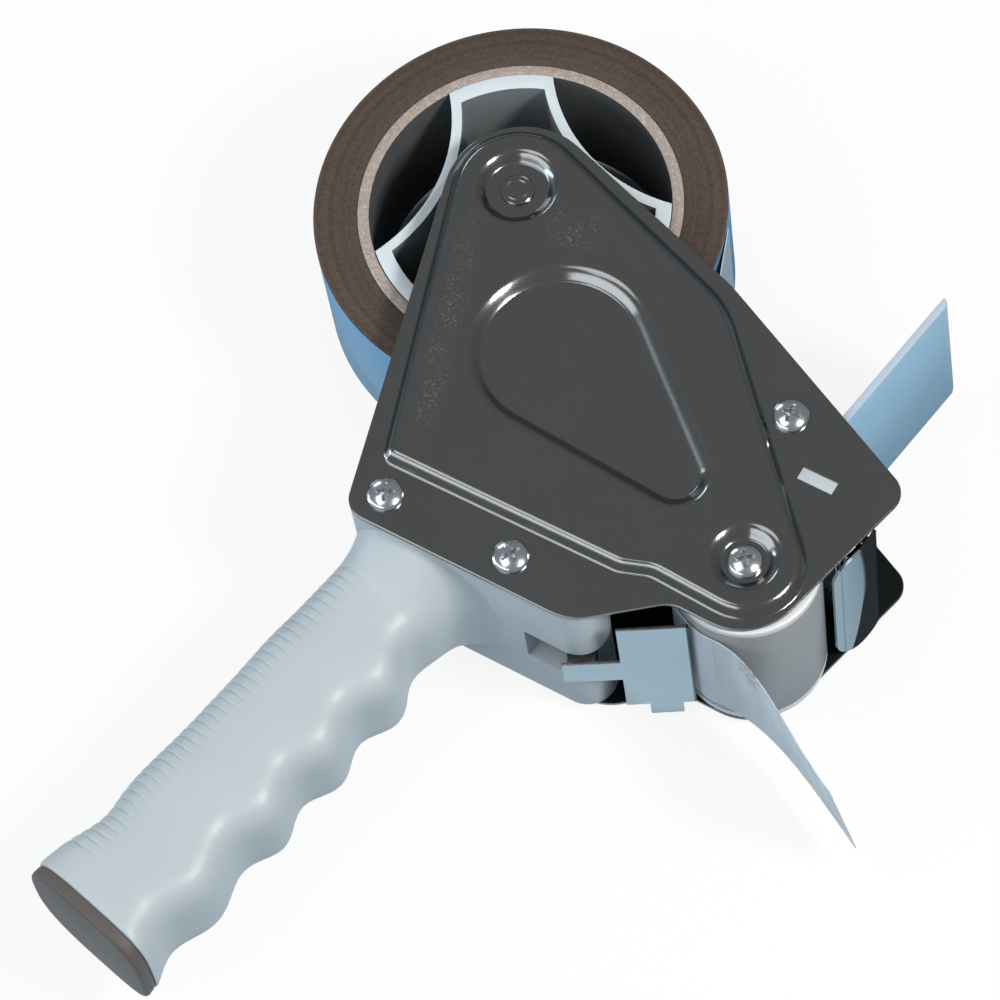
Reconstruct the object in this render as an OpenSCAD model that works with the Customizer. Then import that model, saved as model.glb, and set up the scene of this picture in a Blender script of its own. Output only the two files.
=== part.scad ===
// Hand-held packing tape dispenser lying on its side: pistol grip, two stamped side plates,
// braked tape hub, pressure roller, sprung tape retainer, serrated blade and wiper flap.
// Z is the direction of the hub and roller axes, X points to the blade, Y to the tape roll.
// The origin lies on the flat panel of the guide plate, on which the dispenser rests.

/* [Tape] */
// Inner diameter of the cardboard core (3 inch standard)
core_id = 76.2; // [70:0.1:80]
// Wall of the cardboard core
core_wall = 3; // [2:0.1:5]
// Outer diameter of the wound roll
roll_d = 104.4; // [95:0.2:106]
// Width of the tape
tape_w = 38; // [30:0.5:42]
// Thickness of the single layer of tape
tape_t = 0.3; // [0.2:0.05:0.4]
// Gap between a running layer of tape and the surface that it runs on
tape_gap = 0.3; // [0.25:0.05:0.5]

/* [Side plates] */
// Clear width between the side plates
gap_w = 52; // [48:0.5:58]
// Thickness of the sheet steel
plate_t = 1.2; // [1:0.1:1.6]
// Height of the raised panel above the rim of the plate
panel_h = 2.6; // [2.5:0.1:3.2]
// Width of the sloping step round the panel
panel_step = 1.6; // [1:0.1:2.2]
// Radius of the main plate round the hub axis
plate_top_r = 19.3; // [18:0.1:21]
// Distance of the plate's rear edge from the hub axis
plate_rear_r = 18.4; // [17:0.1:20]
// Radius of the raised panel round the hub axis
panel_top_r = 16.2; // [15:0.1:17]
// Radius of the recess round the hub rivet, at its floor
hub_recess_r = 8.6; // [7:0.1:10]
// Radius of the recess round the roller screw, at its floor
roller_recess_r = 7; // [6:0.1:8]
// Radius of the large end of the drop-shaped recess
drop_big_r = 20.5; // [18:0.5:22]
// Radius of the small end of the drop-shaped recess
drop_small_r = 6.5; // [5:0.5:8]
// How much shorter the lower edge of the guide plate is
guide_trim = 3; // [2:0.5:4]
// Clearance between the roll and the cut-out of the guide plate
cutout_gap = 4.3; // [3:0.1:6]

/* [Layout from the hub axis] */
// Roller axis, forward
roller_x = 99.5; // [97:0.5:104]
// Roller axis, upward
roller_y = -62.5; // [-66:0.5:-60]
// Lower edge of the main plate
base_y = -96; // [-99:0.5:-95]
// Front post, forward
post_x = 90.4; // [86:0.2:92]
// Front post, upward
post_y = -23.4; // [-25:0.2:-21]
// Wiper bar, forward
bar_x = 104.4; // [102:0.2:106]
// Wiper bar, upward
bar_y = -35.7; // [-37:0.1:-35]
// Rear handle screw, forward
screw_rear_x = 14.1; // [12:0.1:18]
// Front handle screw, forward
screw_front_x = 49.3; // [42:0.1:51]
// Height of the handle screws above the lower edge
screw_rise = 8.2; // [8:0.1:9]

/* [Handle] */
// Height of the head block between the plates
head_h = 15.2; // [14:0.1:16]
// Axis of the head's rounded nose, forward
nose_x = 66.4; // [65:0.1:69]
// Length of the grip
grip_len = 114; // [100:0.5:124]
// Lean of the grip from straight down
grip_lean = 13; // [8:0.5:18]
// Distance from the grip axis to its back
grip_back = 12.4; // [11:0.1:14]
// Distance from the grip axis to the mean finger side
grip_front = 18.5; // [17:0.1:21]
// Thickness of the grip
grip_t = 33; // [28:0.5:38]
// Height of the finger swells
finger_swell = 1.8; // [1:0.1:2.4]
// Spacing of the finger swells
finger_pitch = 22.3; // [20:0.1:24]
// Thickness of the end cap
cap_t = 3.5; // [2.5:0.1:5]

/* [Hub and brake] */
// Length of the hub
hub_len = 39; // [36:0.5:42]
// Wall of the hub
hub_wall = 2.6; // [2:0.1:3.4]
// Clearance between a lobe and the core
lobe_gap = 0.1; // [0.05:0.05:0.3]
// Radius of the axle's journal
journal_r = 5; // [4:0.1:6]
// Radius of the threaded end of the axle
thread_r = 4; // [3:0.1:4.2]
// Running clearance of a shaft in its bore
run_gap = 0.05; // [0.02:0.01:0.08]
// Radius of the tension nut
nut_r = 11; // [9:0.5:13]
// Height of the tension nut
nut_h = 5.6; // [4.5:0.1:6]
// Wire diameter of the brake spring
brake_wire = 1.2; // [1:0.1:1.4]
// Turns of the brake spring
brake_turns = 3.5; // [3:0.5:3.5]

/* [Roller] */
// Radius of the roller
roller_r = 18.2; // [17:0.1:18.6]
// Wall of the roller sleeve
roller_wall = 3; // [2:0.1:4]
// Rim thickness of the roller end caps
rim_t = 2.5; // [2:0.1:4]
// End play between the roller and a plate
roller_play = 0.7; // [0.4:0.1:1]
// Radius of the roller axle
axle_r = 5; // [4:0.1:6]

/* [Retainer] */
// Slope of the retainer plate
retainer_slope = 31.5; // [30:0.5:34]
// Distance from the pivot to the outer face of the retainer plate
retainer_drop = 9.4; // [9.2:0.1:10]
// Thickness of the retainer sheet
retainer_t = 1; // [0.8:0.1:1.2]
// Width of the retainer plate along the roller
retainer_w = 44; // [36:0.5:45]
// Width of the retainer's arm
arm_w = 10; // [9:0.5:12]
// Radius of the retainer pin
pin_r = 1.6; // [1.4:0.1:1.9]
// Wire diameter of the retainer spring
coil_wire = 0.9; // [0.7:0.1:1]
// Turns of the retainer spring
coil_turns = 4; // [3:1:4]

/* [Blade and wiper] */
// Thickness of the blade
blade_t = 0.8; // [0.6:0.1:1]
// Height of the blade
blade_h = 15.2; // [14:0.2:17]
// Depth of the blade's teeth
tooth_h = 1.4; // [1:0.1:1.8]
// Number of teeth on the blade
tooth_count = 32; // [20:1:40]
// Length of the wiper flap from its bead to its tip
wiper_len = 54.4; // [45:0.2:58]
// Thickness of the wiper flap
wiper_t = 2; // [1.6:0.1:3]
// Lean of the wiper flap towards the blade
wiper_lean = 9; // [5:0.5:12]
// Radius of the bead at the root of the wiper flap
bead_r = 2.2; // [2:0.1:2.6]
// Side clearance of the wiper flap to each plate
wiper_side = 1; // [0.6:0.1:4]

/* [Screws] */
// Radius of the screw heads
screw_head_r = 4.5; // [4:0.1:4.8]
// Height of the screw heads
screw_head_h = 2.3; // [1.8:0.1:2.4]
// Radius of the screw shanks
screw_r = 1.9; // [1.5:0.1:2]
// Length of the screw shanks under the plate
screw_len = 10; // [8:0.5:12]
// Clearance of a screw or tenon in its hole
hole_gap = 0.1; // [0.05:0.05:0.2]

/* [Hidden] */
$fn = 64;
eps = 0.01;

// Place of the hub axis: the origin lies on the guide plate's panel, ahead of and below the hub
hub_at = [-60, 50, 0];

// Levels along Z, from the resting face up
far_out = panel_h;
far_in = far_out + plate_t;
near_in = far_in + gap_w;
near_out = near_in + plate_t;
mid_z = (far_in + near_in) / 2;
roll_z = mid_z - tape_w / 2;
hub_z = mid_z - hub_len / 2;

// Colours of the finishes
black_paint = "#3c3e3f";
pale_grey = "#c6ccd2";
plated = "#aebcc6";
steel = "#b8bcc0";
dark_steel = "#55585a";
paper_brown = "#a08d7e";
tape_brown = "#6d5a4e";
clear_tape = "#b9bcc4";
pale_blue = "#a9cfe8";
cap_brown = "#8c8480";

// Basic directions and rounded outlines
function unit(v) = v / norm(v);
function heading(a) = [cos(a), sin(a)];
function flat(p) = [p[0], p[1]];
function leftward(v) = [-v[1], v[0]];
function nth(list, i) = list[(i + len(list)) % len(list)];

// Corner of two lines with outward headings a and b at the distances p and q from the hub
function line_corner(p, a, q, b) = [p * sin(b) - q * sin(a), q * cos(a) - p * cos(b)] / sin(b - a);

// Point at a given x or y on the line with outward heading a at distance r from the hub
function on_line_x(r, a, x) = [x, (r - x * cos(a)) / sin(a)];
function on_line_y(r, a, y) = [(r - y * sin(a)) / cos(a), y];

// Arc that rounds the corner b with radius r between the corners a and c
function corner_arc(a, b, c, r, steps) =
    let (
        u = unit(a - b),
        v = unit(c - b),
        half = acos(u * v) / 2,
        centre = b + unit(u + v) * r / sin(half),
        from = b + u * r / tan(half) - centre,
        to = b + v * r / tan(half) - centre,
        start = atan2(from[1], from[0]),
        sweep = (atan2(to[1], to[0]) - start + 540) % 360 - 180
    )
    [for (k = [0:steps]) centre + r * heading(start + sweep * k / steps)];

// Closed outline of corners [x, y, radius], counter-clockwise
function rounded(p, steps = 6) =
    [for (i = [0:len(p) - 1])
        each corner_arc(flat(nth(p, i - 1)), flat(p[i]), flat(nth(p, i + 1)), p[i][2], steps)];

// The same corners moved inwards by d
function shrunk(p, d) =
    [for (i = [0:len(p) - 1])
        let (
            u = unit(flat(p[i]) - flat(nth(p, i - 1))),
            v = unit(flat(nth(p, i + 1)) - flat(p[i])),
            turn = u[0] * v[1] - u[1] * v[0],
            m = unit(leftward(u) + leftward(v)),
            q = flat(p[i]) + m * d / (m * leftward(u))
        )
        [q[0], q[1], max(0.5, turn > 0 ? p[i][2] - d : p[i][2] + d)]];

// Solid through a stack of rings that all have the same number of points
module loft(rings) {
    n = len(rings[0]);
    last = (len(rings) - 1) * n;
    polyhedron(
        points = [for (ring = rings) each ring],
        faces = concat(
            [[for (i = [0:n - 1]) i]],
            [for (k = [0:len(rings) - 2], i = [0:n - 1]) [k * n + i, (k + 1) * n + i, (k + 1) * n + (i + 1) % n]],
            [for (k = [0:len(rings) - 2], i = [0:n - 1]) [k * n + i, (k + 1) * n + (i + 1) % n, k * n + (i + 1) % n]],
            [[for (i = [n - 1:-1:0]) last + i]]
        ),
        convexity = 6
    );
}

// Flat ring of points lifted to the height z
function lifted(points, z) = [for (p = points) [p[0], p[1], z]];

// Round wire along a path that never runs along Z
function wire_ring(path, i, r, sides) =
    let (
        t = unit(path[min(i + 1, len(path) - 1)] - path[max(i - 1, 0)]),
        n = unit(cross(t, [0, 0, 1])),
        b = cross(t, n)
    )
    [for (k = [0:sides - 1]) path[i] + r * (cos(360 * k / sides) * n + sin(360 * k / sides) * b)];

module wire(path, r, sides = 6) {
    loft([for (i = [0:len(path) - 1]) wire_ring(path, i, r, sides)]);
}

// Helix about the Z axis with eight rings a turn
function helix(r, pitch, turns, z, from = 0) =
    [for (k = [0:turns * 8]) [r * cos(from + 45 * k), r * sin(from + 45 * k), z + pitch * k / 8]];

// Least distance between points of a wire at least three quarters of a turn apart, less its thickness
function self_gap(path, wire_d) =
    min([for (i = [0:len(path) - 1], j = [i + 6:len(path) - 1]) if (j < len(path)) norm(path[i] - path[j])]) - wire_d;

module at_hub() {
    translate(hub_at) children();
}

module ring(r_out, r_in, h) {
    difference() {
        cylinder(r = r_out, h = h);
        translate([0, 0, -1]) cylinder(r = r_in, h = h + 2);
    }
}

// Side plates

// Outward headings of the rear and top edges of the plate and of its raised panel
rear_edge = 195.3;
top_edge = 72.6;
panel_rear = 198;
panel_top = 71;
panel_base = base_y + 18;
brow_x = 60;

roller_at = [roller_x, roller_y];
post_at = [post_x, post_y];
bar_at = [bar_x, bar_y];
screw_y = base_y + screw_rise;
handle_screws = [[screw_rear_x, screw_y], [screw_front_x, screw_y]];
screw_places = concat(handle_screws, [post_at, roller_at]);
front_ahead = 25.7;
front_above = 34.1;
chin_ahead = 12.7;
chin_below = 18.1;
front_corner = roller_at + [front_ahead, front_above];
chin_corner = roller_at + [chin_ahead, -chin_below];

// Corners of the plate's outline, counter-clockwise, with its lower edge at the height y
function plate_corners(y) = [
    [each line_corner(plate_rear_r, rear_edge, plate_top_r, top_edge), plate_top_r],
    [each on_line_y(plate_rear_r, rear_edge, y), 6.5],
    [nose_x + 3.1 + (y - base_y) * 1.25, y, 14],
    [roller_x - 10.5, roller_y - 17.9, 8],
    [each chin_corner, 16],
    [each front_corner, 6],
    [each on_line_x(plate_top_r, top_edge, brow_x), 30]
];

// Corners of the raised panel
panel_corners = [
    [each line_corner(panel_top_r, panel_rear, panel_top_r, panel_top), panel_top_r],
    [each on_line_y(panel_top_r, panel_rear, panel_base), 3.2],
    [nose_x + 9.6, panel_base, 4],
    [roller_x - 16, roller_y - 11.4, 5],
    [roller_x + 4, roller_y - 15.2, 11],
    [roller_x + 13.6, roller_y + 2, 11],
    [each on_line_x(panel_top_r, panel_top, brow_x + 2), 9]
];

// Outline shrunk by d, ready for a polygon or a loft
function panel_ring(d, z) = lifted(rounded(shrunk(panel_corners, d)), z);

// Recess in the panel: floor radius r at the rim's level, widening by the step
module dish(r, grow = 0) {
    cylinder(r1 = r + grow, r2 = r + grow + panel_step, h = panel_h);
    translate([0, 0, panel_h]) cylinder(r = r + grow + panel_step, h = 1);
}

module drop_dish(grow = 0) {
    hull() {
        translate([32.3, -34.4, 0]) dish(drop_big_r, grow, $fn = 32);
        translate([roller_x - 25.6, roller_y + 11.5, 0]) dish(drop_small_r, grow, $fn = 32);
    }
}

// Stamped sheet with z = 0 at its inner face and the panel raised towards +Z
module stamping(y, cut_r, with_hub) {
    skin = 0.5;
    difference() {
        union() {
            linear_extrude(plate_t) polygon(rounded(plate_corners(y)));
            translate([0, 0, plate_t - eps]) loft([panel_ring(0, 0), panel_ring(panel_step, panel_h + eps)]);
        }
        difference() {
            translate([0, 0, -eps]) loft([panel_ring(skin, 0), panel_ring(skin + panel_step, panel_h + eps)]);
            translate([roller_x, roller_y, 0]) dish(roller_recess_r, plate_t);
            if (with_hub) {
                dish(hub_recess_r, plate_t);
                drop_dish(plate_t);
            }
            else {
                translate([0, 0, -1]) cylinder(r = cut_r + 5 + panel_step, h = panel_h + 2);
            }
        }
        translate([roller_x, roller_y, plate_t]) dish(roller_recess_r);
        if (with_hub) {
            translate([0, 0, plate_t]) dish(hub_recess_r);
            translate([0, 0, plate_t]) drop_dish();
            translate([0, 0, -1]) cylinder(r = thread_r + hole_gap, h = plate_t + 2);
        }
        else {
            translate([0, 0, -panel_h - 1]) cylinder(r = cut_r, h = 3 * panel_h + 2);
            translate([0, 0, plate_t]) cylinder(r1 = cut_r + 5, r2 = cut_r + 5 + panel_step, h = panel_h);
            translate([0, 0, plate_t + panel_h - eps]) cylinder(r = cut_r + 5 + panel_step, h = 1);
        }
        for (at = screw_places) {
            translate([at[0], at[1], -1]) cylinder(r = screw_r + hole_gap, h = plate_t + 2);
        }
        translate([bar_x, bar_y, 0])
            cube([tenon_w + 2 * hole_gap, tenon_t + 2 * hole_gap, 4 * plate_t], center = true);
    }
}

cutout_r = roll_d / 2 + cutout_gap;

module main_side_plate() {
    color(black_paint) at_hub() translate([0, 0, near_in]) stamping(base_y, 0, true);
}

module guide_side_plate() {
    color(black_paint) at_hub() translate([0, 0, far_in]) mirror([0, 0, 1])
        stamping(base_y + guide_trim, cutout_r, false);
}

// Handle: head block between the plates, forked nose and pistol grip

head_low = base_y + 0.8;
head_top = head_low + head_h;
nose_at = [nose_x, head_low + head_h / 2];
fork_w = arm_w + 4;
fork_roof = 2;
fork_z = mid_z - 3;
head_inset = 1;
grip_top = [22, base_y];
grip_down = [-sin(grip_lean), -cos(grip_lean)];
grip_out = [cos(grip_lean), -sin(grip_lean)];

// Smooth step from 0 to 1 between a and b
function smooth(s, a, b) = let (t = min(1, max(0, (s - a) / (b - a)))) t * t * (3 - 2 * t);

// Edges of the grip at the distance s below the plate's edge
palm_taper = 1.4;
palm_dip = 1.6;
butt_flare = 1.6;
rear_flare = 3;
function grip_rear(s) =
    -grip_back + palm_taper * smooth(s, 30, 65) + palm_dip * exp(-pow((s - grip_len + 19) / 7, 2))
    - butt_flare * smooth(s, grip_len - 16, grip_len + 2) - rear_flare * exp(-max(0, s) / 4.2);
function grip_fore(s) =
    grip_front + 0.045 * s + finger_swell * smooth(s, 6, 20) * cos(360 * (s - 27.3) / finger_pitch)
    + 2.5 * exp(-max(0, s + 1) / 3);
function grip_half(s) =
    grip_t / 2 + (gap_w / 2 - 0.1 - grip_t / 2) * (1 - smooth(s, -6, 12))
    + smooth(s, grip_len - 25, grip_len);

// Rounded cross-section of the grip, shrunk by d
function grip_ring(s, d = 0) =
    let (
        a = (grip_fore(s) - grip_rear(s)) / 2 - d,
        b = grip_half(s) - d,
        mid = grip_top + grip_down * s + grip_out * (grip_fore(s) + grip_rear(s)) / 2,
        power = 0.55
    )
    [for (k = [0:31])
        let (
            c = cos(360 * k / 32),
            e = sin(360 * k / 32),
            along = mid + grip_out * a * sign(c) * pow(abs(c), power)
        )
        [along[0], along[1], mid_z + b * sign(e) * pow(abs(e), power)]];

grip_sections = 42;

module grip(from, to, d = 0, sections = grip_sections) {
    loft([for (k = [0:sections]) grip_ring(from + (to - from) * k / sections, d)]);
}

head_corners = [
    [each on_line_y(plate_rear_r - head_inset, rear_edge, head_low), 2],
    [nose_x + head_h / 2, head_low, head_h / 2 - 0.1],
    [nose_x + head_h / 2, head_top, head_h / 2 - 0.1],
    [each on_line_y(plate_rear_r - head_inset, rear_edge, head_top), 2]
];

module handle() {
    color(pale_grey) at_hub() difference() {
        union() {
            translate([0, 0, far_in]) linear_extrude(gap_w) polygon(rounded(head_corners));
            grip(-8, grip_len);
        }
        // Fork for the retainer's arm
        translate([nose_x - 11.4, head_low - 1, fork_z - fork_w / 2])
            cube([30, head_h + 1 - fork_roof, fork_w]);
        translate([nose_at[0], nose_at[1], fork_z - pin_len / 2]) cylinder(r = pin_r + run_gap, h = pin_len);
        // Socket for the end cap's plug
        grip(grip_len - plug_len - 1, grip_len + 1, plug_inset, 4);
        for (at = handle_screws) {
            translate([at[0], at[1], far_in - 1]) cylinder(r = screw_r + hole_gap, h = screw_len + 2);
            translate([at[0], at[1], near_in - screw_len - 1])
                cylinder(r = screw_r + hole_gap, h = screw_len + 2);
        }
    }
}

plug_len = 5;
plug_inset = 4;
plug_slack = 0.3;

module handle_end_cap() {
    color(cap_brown) at_hub() {
        grip(grip_len, grip_len + cap_t, 0.5, 4);
        grip(grip_len - plug_len, grip_len + 0.5, plug_inset + plug_slack, 4);
    }
}

// Hub, axle and brake

boss_low = hub_z + 8;
boss_high = hub_z + hub_len - 9;
washer_t = 1.1;
face_gap = 0.1;
collar_low = boss_high + washer_t + 2 * face_gap;
nut_low = far_in - 0.6;
thread_low = nut_low - 0.8;
lobe_r = core_id / 2 - lobe_gap;
boss_r = journal_r + 4;
hub_start = 8;

module hub_axle() {
    color(dark_steel) at_hub() {
        translate([0, 0, collar_low]) cylinder(r = journal_r + 3, h = near_in - collar_low);
        translate([0, 0, boss_low - face_gap]) cylinder(r = journal_r, h = collar_low - boss_low + 1);
        translate([0, 0, thread_low]) cylinder(r = thread_r, h = boss_low - thread_low);
        // Riveted end through the main plate
        translate([0, 0, near_in - eps]) cylinder(r = thread_r, h = plate_t + eps);
        translate([0, 0, near_out]) cylinder(r1 = thread_r + 0.3, r2 = thread_r - 0.4, h = 0.9);
    }
}

// Three-lobed column: a round bar bitten by three circles; grow widens the bites
waist_r = 22.3;
lobe_half = 20.5;
bite_at = (pow(lobe_r, 2) - pow(waist_r, 2)) / (2 * (lobe_r * cos(60 - lobe_half) - waist_r));

module lobed(r, grow, h) {
    difference() {
        cylinder(r = r, h = h, $fn = 128);
        for (k = [0:2]) {
            rotate(hub_start + 60 + 120 * k) translate([bite_at, 0, -1])
                cylinder(r = bite_at - waist_r + grow, h = h + 2, $fn = 128);
        }
    }
}

web_t = 3;
web_drop = 1;
rib_len = 5;
rib_w = 1.8;
rib_drop = 0.8;

module tape_hub() {
    color(pale_grey) at_hub() difference() {
        union() {
            translate([0, 0, hub_z]) difference() {
                lobed(lobe_r, 0, hub_len);
                translate([0, 0, -2]) lobed(lobe_r - 1.5 * hub_wall, hub_wall, hub_len + 4);
            }
            translate([0, 0, boss_low]) cylinder(r = boss_r, h = boss_high - boss_low);
            for (k = [0:2]) {
                rotate(hub_start + 60 + 120 * k) translate([boss_r - 1, -web_t / 2, boss_low + web_drop])
                    cube([waist_r - hub_wall - boss_r + 2, web_t, boss_high - boss_low - 2 * web_drop]);
                rotate(hub_start + 60 + 120 * k)
                    translate([waist_r - hub_wall / 2 - rib_len, -rib_w / 2, mid_z])
                    cube([rib_len, rib_w, hub_z + hub_len - rib_drop - mid_z]);
            }
        }
        translate([0, 0, boss_low - 1]) cylinder(r = journal_r + run_gap, h = boss_high - boss_low + 2);
    }
}

module brake_washers() {
    color(steel) at_hub() {
        translate([0, 0, boss_high + face_gap]) ring(boss_r - 0.4, journal_r + run_gap, washer_t);
        translate([0, 0, boss_low - face_gap - washer_t]) ring(boss_r - 0.4, thread_r + run_gap, washer_t);
    }
}

brake_low = nut_low + nut_h + brake_wire / 2 + 0.1;
brake_high = boss_low - face_gap - washer_t - brake_wire / 2 - 0.1;
brake_coil = helix(thread_r + 2.6, (brake_high - brake_low) / brake_turns, brake_turns, brake_low);
echo("brake spring gap", self_gap(brake_coil, brake_wire));

module brake_spring() {
    color(steel) at_hub() wire(brake_coil, brake_wire / 2);
}

module tension_nut() {
    grip_count = 8;
    color(dark_steel) at_hub() translate([0, 0, nut_low]) difference() {
        union() {
            cylinder(r = nut_r - 0.6, h = nut_h);
            translate([0, 0, 0.8]) cylinder(r = nut_r, h = nut_h - 1.6);
        }
        translate([0, 0, -1]) cylinder(r = thread_r + run_gap, h = nut_h + 2);
        for (k = [0:grip_count - 1]) {
            rotate(360 * k / grip_count) translate([nut_r + 1.6, 0, -1]) cylinder(r = 3, h = nut_h + 2);
        }
    }
}

// Tape

core_r = core_id / 2 + core_wall;

module tape_core() {
    color(paper_brown) at_hub() translate([0, 0, roll_z]) ring(core_r, core_id / 2, tape_w, $fn = 128);
}

module tape_roll() {
    color(tape_brown) at_hub() translate([0, 0, roll_z]) ring(roll_d / 2, core_r, tape_w, $fn = 128);
}

// The web crosses from the front of the roll to the handle side of the roller
web_roll_r = roll_d / 2 + tape_gap;
web_roller_r = roller_r + tape_gap;
web_span = norm(roller_at);
web_turn = atan2(roller_y, roller_x) - asin((web_roll_r + web_roller_r + tape_t) / web_span) + 90;
exit_turn = 273;

// Face of the web: on the roll side it lies at the distance d from the roll, and so outside the roller
function web_face(d) = concat(
    [heading(web_turn) * (web_roll_r + d)],
    [for (k = [0:12])
        roller_at + heading(web_turn + 180 + (exit_turn - web_turn - 180) * k / 12) * (web_roller_r + tape_t - d)]
);

module tape_web() {
    far_face = web_face(tape_t);
    near_face = web_face(0);
    color(clear_tape) at_hub() translate([0, 0, roll_z]) linear_extrude(tape_w)
        polygon(concat(near_face, [for (i = [len(far_face) - 1:-1:0]) far_face[i]]));
}

// Free tail: its upper and lower edges follow two curves that leave the roller together
function bezier(p, t) =
    pow(1 - t, 3) * p[0] + 3 * t * pow(1 - t, 2) * p[1] + 3 * t * t * (1 - t) * p[2] + pow(t, 3) * p[3];
tail_start = roller_at + heading(exit_turn) * (web_roller_r + tape_t / 2);
tail_way = leftward(heading(exit_turn));
near_edge = [tail_start, tail_start + tail_way * 13, tail_start + [27.5, -13.5], tail_start + [43, -21]];
far_edge = [tail_start, tail_start + tail_way * 14, tail_start + [26, -6], tail_start + [47.6, -17.7]];

function tail_ring(t) =
    let (
        n = bezier(near_edge, t),
        f = bezier(far_edge, t),
        step = 0.01,
        dn = leftward(unit(bezier(near_edge, t + step) - bezier(near_edge, t - step))) * tape_t / 2,
        df = leftward(unit(bezier(far_edge, t + step) - bezier(far_edge, t - step))) * tape_t / 2,
        low = roll_z,
        high = roll_z + tape_w
    )
    [[each f - df, low], [each f + df, low], [each n + dn, high], [each n - dn, high]];

module tape_tail() {
    sections = 20;
    color(clear_tape) at_hub() loft([for (k = [0:sections]) tail_ring(k / sections)]);
}

// Roller

roller_low = far_in + roller_play;
roller_high = near_in - roller_play;

module roller_sleeve() {
    color(pale_grey) at_hub() translate([roller_x, roller_y, roller_low + rim_t])
        ring(roller_r, roller_r - roller_wall, roller_high - roller_low - 2 * rim_t, $fn = 96);
}

module roller_cap() {
    spigot = 7;
    difference() {
        rotate_extrude($fn = 96) polygon([
            [axle_r + run_gap, 0],
            [roller_r - 0.4, 0],
            [roller_r, 0.4],
            [roller_r, rim_t],
            [roller_r - roller_wall - hole_gap, rim_t],
            [roller_r - roller_wall - hole_gap, rim_t + spigot],
            [axle_r + run_gap, rim_t + spigot]
        ]);
        translate([0, 0, -eps]) ring(roller_r - roller_wall, axle_r + 3, 1.5);
    }
}

module roller_end_caps() {
    color("white") at_hub() translate([roller_x, roller_y, 0]) {
        translate([0, 0, roller_low]) roller_cap();
        translate([0, 0, roller_high]) mirror([0, 0, 1]) roller_cap();
    }
}

// Round bar between the plates with a screw hole at each end
module cross_bar(r) {
    difference() {
        cylinder(r = r, h = gap_w);
        translate([0, 0, -1]) cylinder(r = screw_r + hole_gap, h = screw_len + 2);
        translate([0, 0, gap_w - screw_len - 1]) cylinder(r = screw_r + hole_gap, h = screw_len + 2);
    }
}

module roller_axle() {
    color(steel) at_hub() translate([roller_x, roller_y, far_in]) cross_bar(axle_r);
}

module front_post() {
    color(steel) at_hub() translate([post_x, post_y, far_in]) cross_bar(5);
}

// Retainer: bent sheet that swings on a pin in the fork of the head

pin_len = fork_w + 14;
retainer_left = 9.4;
retainer_shift = 1.5;
tab_from = 5.8;
arm_left = -4.9;
roller_from_nose = roller_at - nose_at;
roller_u = roller_from_nose * heading(retainer_slope);
roller_v = roller_from_nose * leftward(heading(retainer_slope));
retainer_keep = web_roller_r + tape_t + 0.4;
retainer_right = roller_u - sqrt(pow(retainer_keep, 2) - pow(roller_v + retainer_drop - retainer_t, 2));
tab_w = 8.2;
tab_len = 5.8;
ear_r = pin_r + 1.9;

module ear() {
    difference() {
        union() {
            cylinder(r = ear_r, h = retainer_t);
            translate([-ear_r, -retainer_drop, 0]) cube([2 * ear_r, retainer_drop, retainer_t]);
        }
        translate([0, 0, -1]) cylinder(r = pin_r + run_gap, h = retainer_t + 2);
    }
}

module retainer_plate() {
    low = -retainer_drop;
    edge = retainer_shift - retainer_w / 2;
    color(plated) at_hub() translate([nose_at[0], nose_at[1], fork_z]) rotate(retainer_slope) {
        translate([retainer_left, low, edge]) cube([retainer_right - retainer_left, retainer_t, retainer_w]);
        translate([arm_left, low, -arm_w / 2]) cube([retainer_left - arm_left + eps, retainer_t, arm_w]);
        translate([retainer_left + tab_from, low, edge - tab_len]) cube([tab_w, retainer_t, tab_len + eps]);
        translate([0, 0, -arm_w / 2]) ear();
        translate([0, 0, arm_w / 2 - retainer_t]) ear();
    }
}

module retainer_pin() {
    color(steel) at_hub() translate([nose_at[0], nose_at[1], fork_z - pin_len / 2 + hole_gap])
        cylinder(r = pin_r, h = pin_len - 2 * hole_gap);
}

coil_r = pin_r + coil_wire / 2 + 0.5;
coil_len = arm_w - 2 * retainer_t - coil_wire - 0.6;
coil_pitch = coil_len / coil_turns;
coil_low = -coil_len / 2;
coil_body = helix(coil_r, coil_pitch, coil_turns, coil_low);
// The lower leg ends just above the arm at every opening, the upper one under the fork's ceiling
leg_low = -sqrt(pow(retainer_drop - retainer_t - coil_wire / 2 - 0.4, 2) - pow(coil_r, 2));
leg_high = head_h / 2 - fork_roof - 0.2;
coil_path = concat(
    [[coil_r, leg_low, coil_low], [coil_r, leg_low / 2, coil_low]],
    coil_body,
    [[coil_r, leg_high / 2, -coil_low], [coil_r, leg_high, -coil_low]]
);
echo("retainer spring gap", self_gap(coil_body, coil_wire));

module retainer_spring() {
    color(steel) at_hub() translate([nose_at[0], nose_at[1], fork_z]) wire(coil_path, coil_wire / 2);
}

// Blade and the bar that carries it

// Frame of the blade: v runs along the front edge of the plates, u forward out of it
front_way = unit(front_corner - chin_corner);
blade_turn = atan2(front_way[1], front_way[0]) - 90;
blade_low = 27;
blade_len = gap_w - 1;
blade_bow = 1.2;
blade_set = 0.6;
bow_r = (pow(blade_h / 2, 2) + pow(blade_bow, 2)) / (2 * blade_bow);
bow_at = blade_set - bow_r;

module in_blade_frame() {
    at_hub() translate([chin_corner[0], chin_corner[1], 0]) rotate(blade_turn) translate([0, blade_low, mid_z])
        children();
}

// Bowed sheet of the blade, bulging forward, before it is cut to its outline
module blade_sheet() {
    linear_extrude(gap_w, center = true) intersection() {
        translate([bow_at, blade_h / 2]) difference() {
            circle(r = bow_r + blade_t, $fn = 200);
            circle(r = bow_r, $fn = 200);
        }
        translate([-4, -1]) square([8, blade_h + 2]);
    }
}

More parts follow.
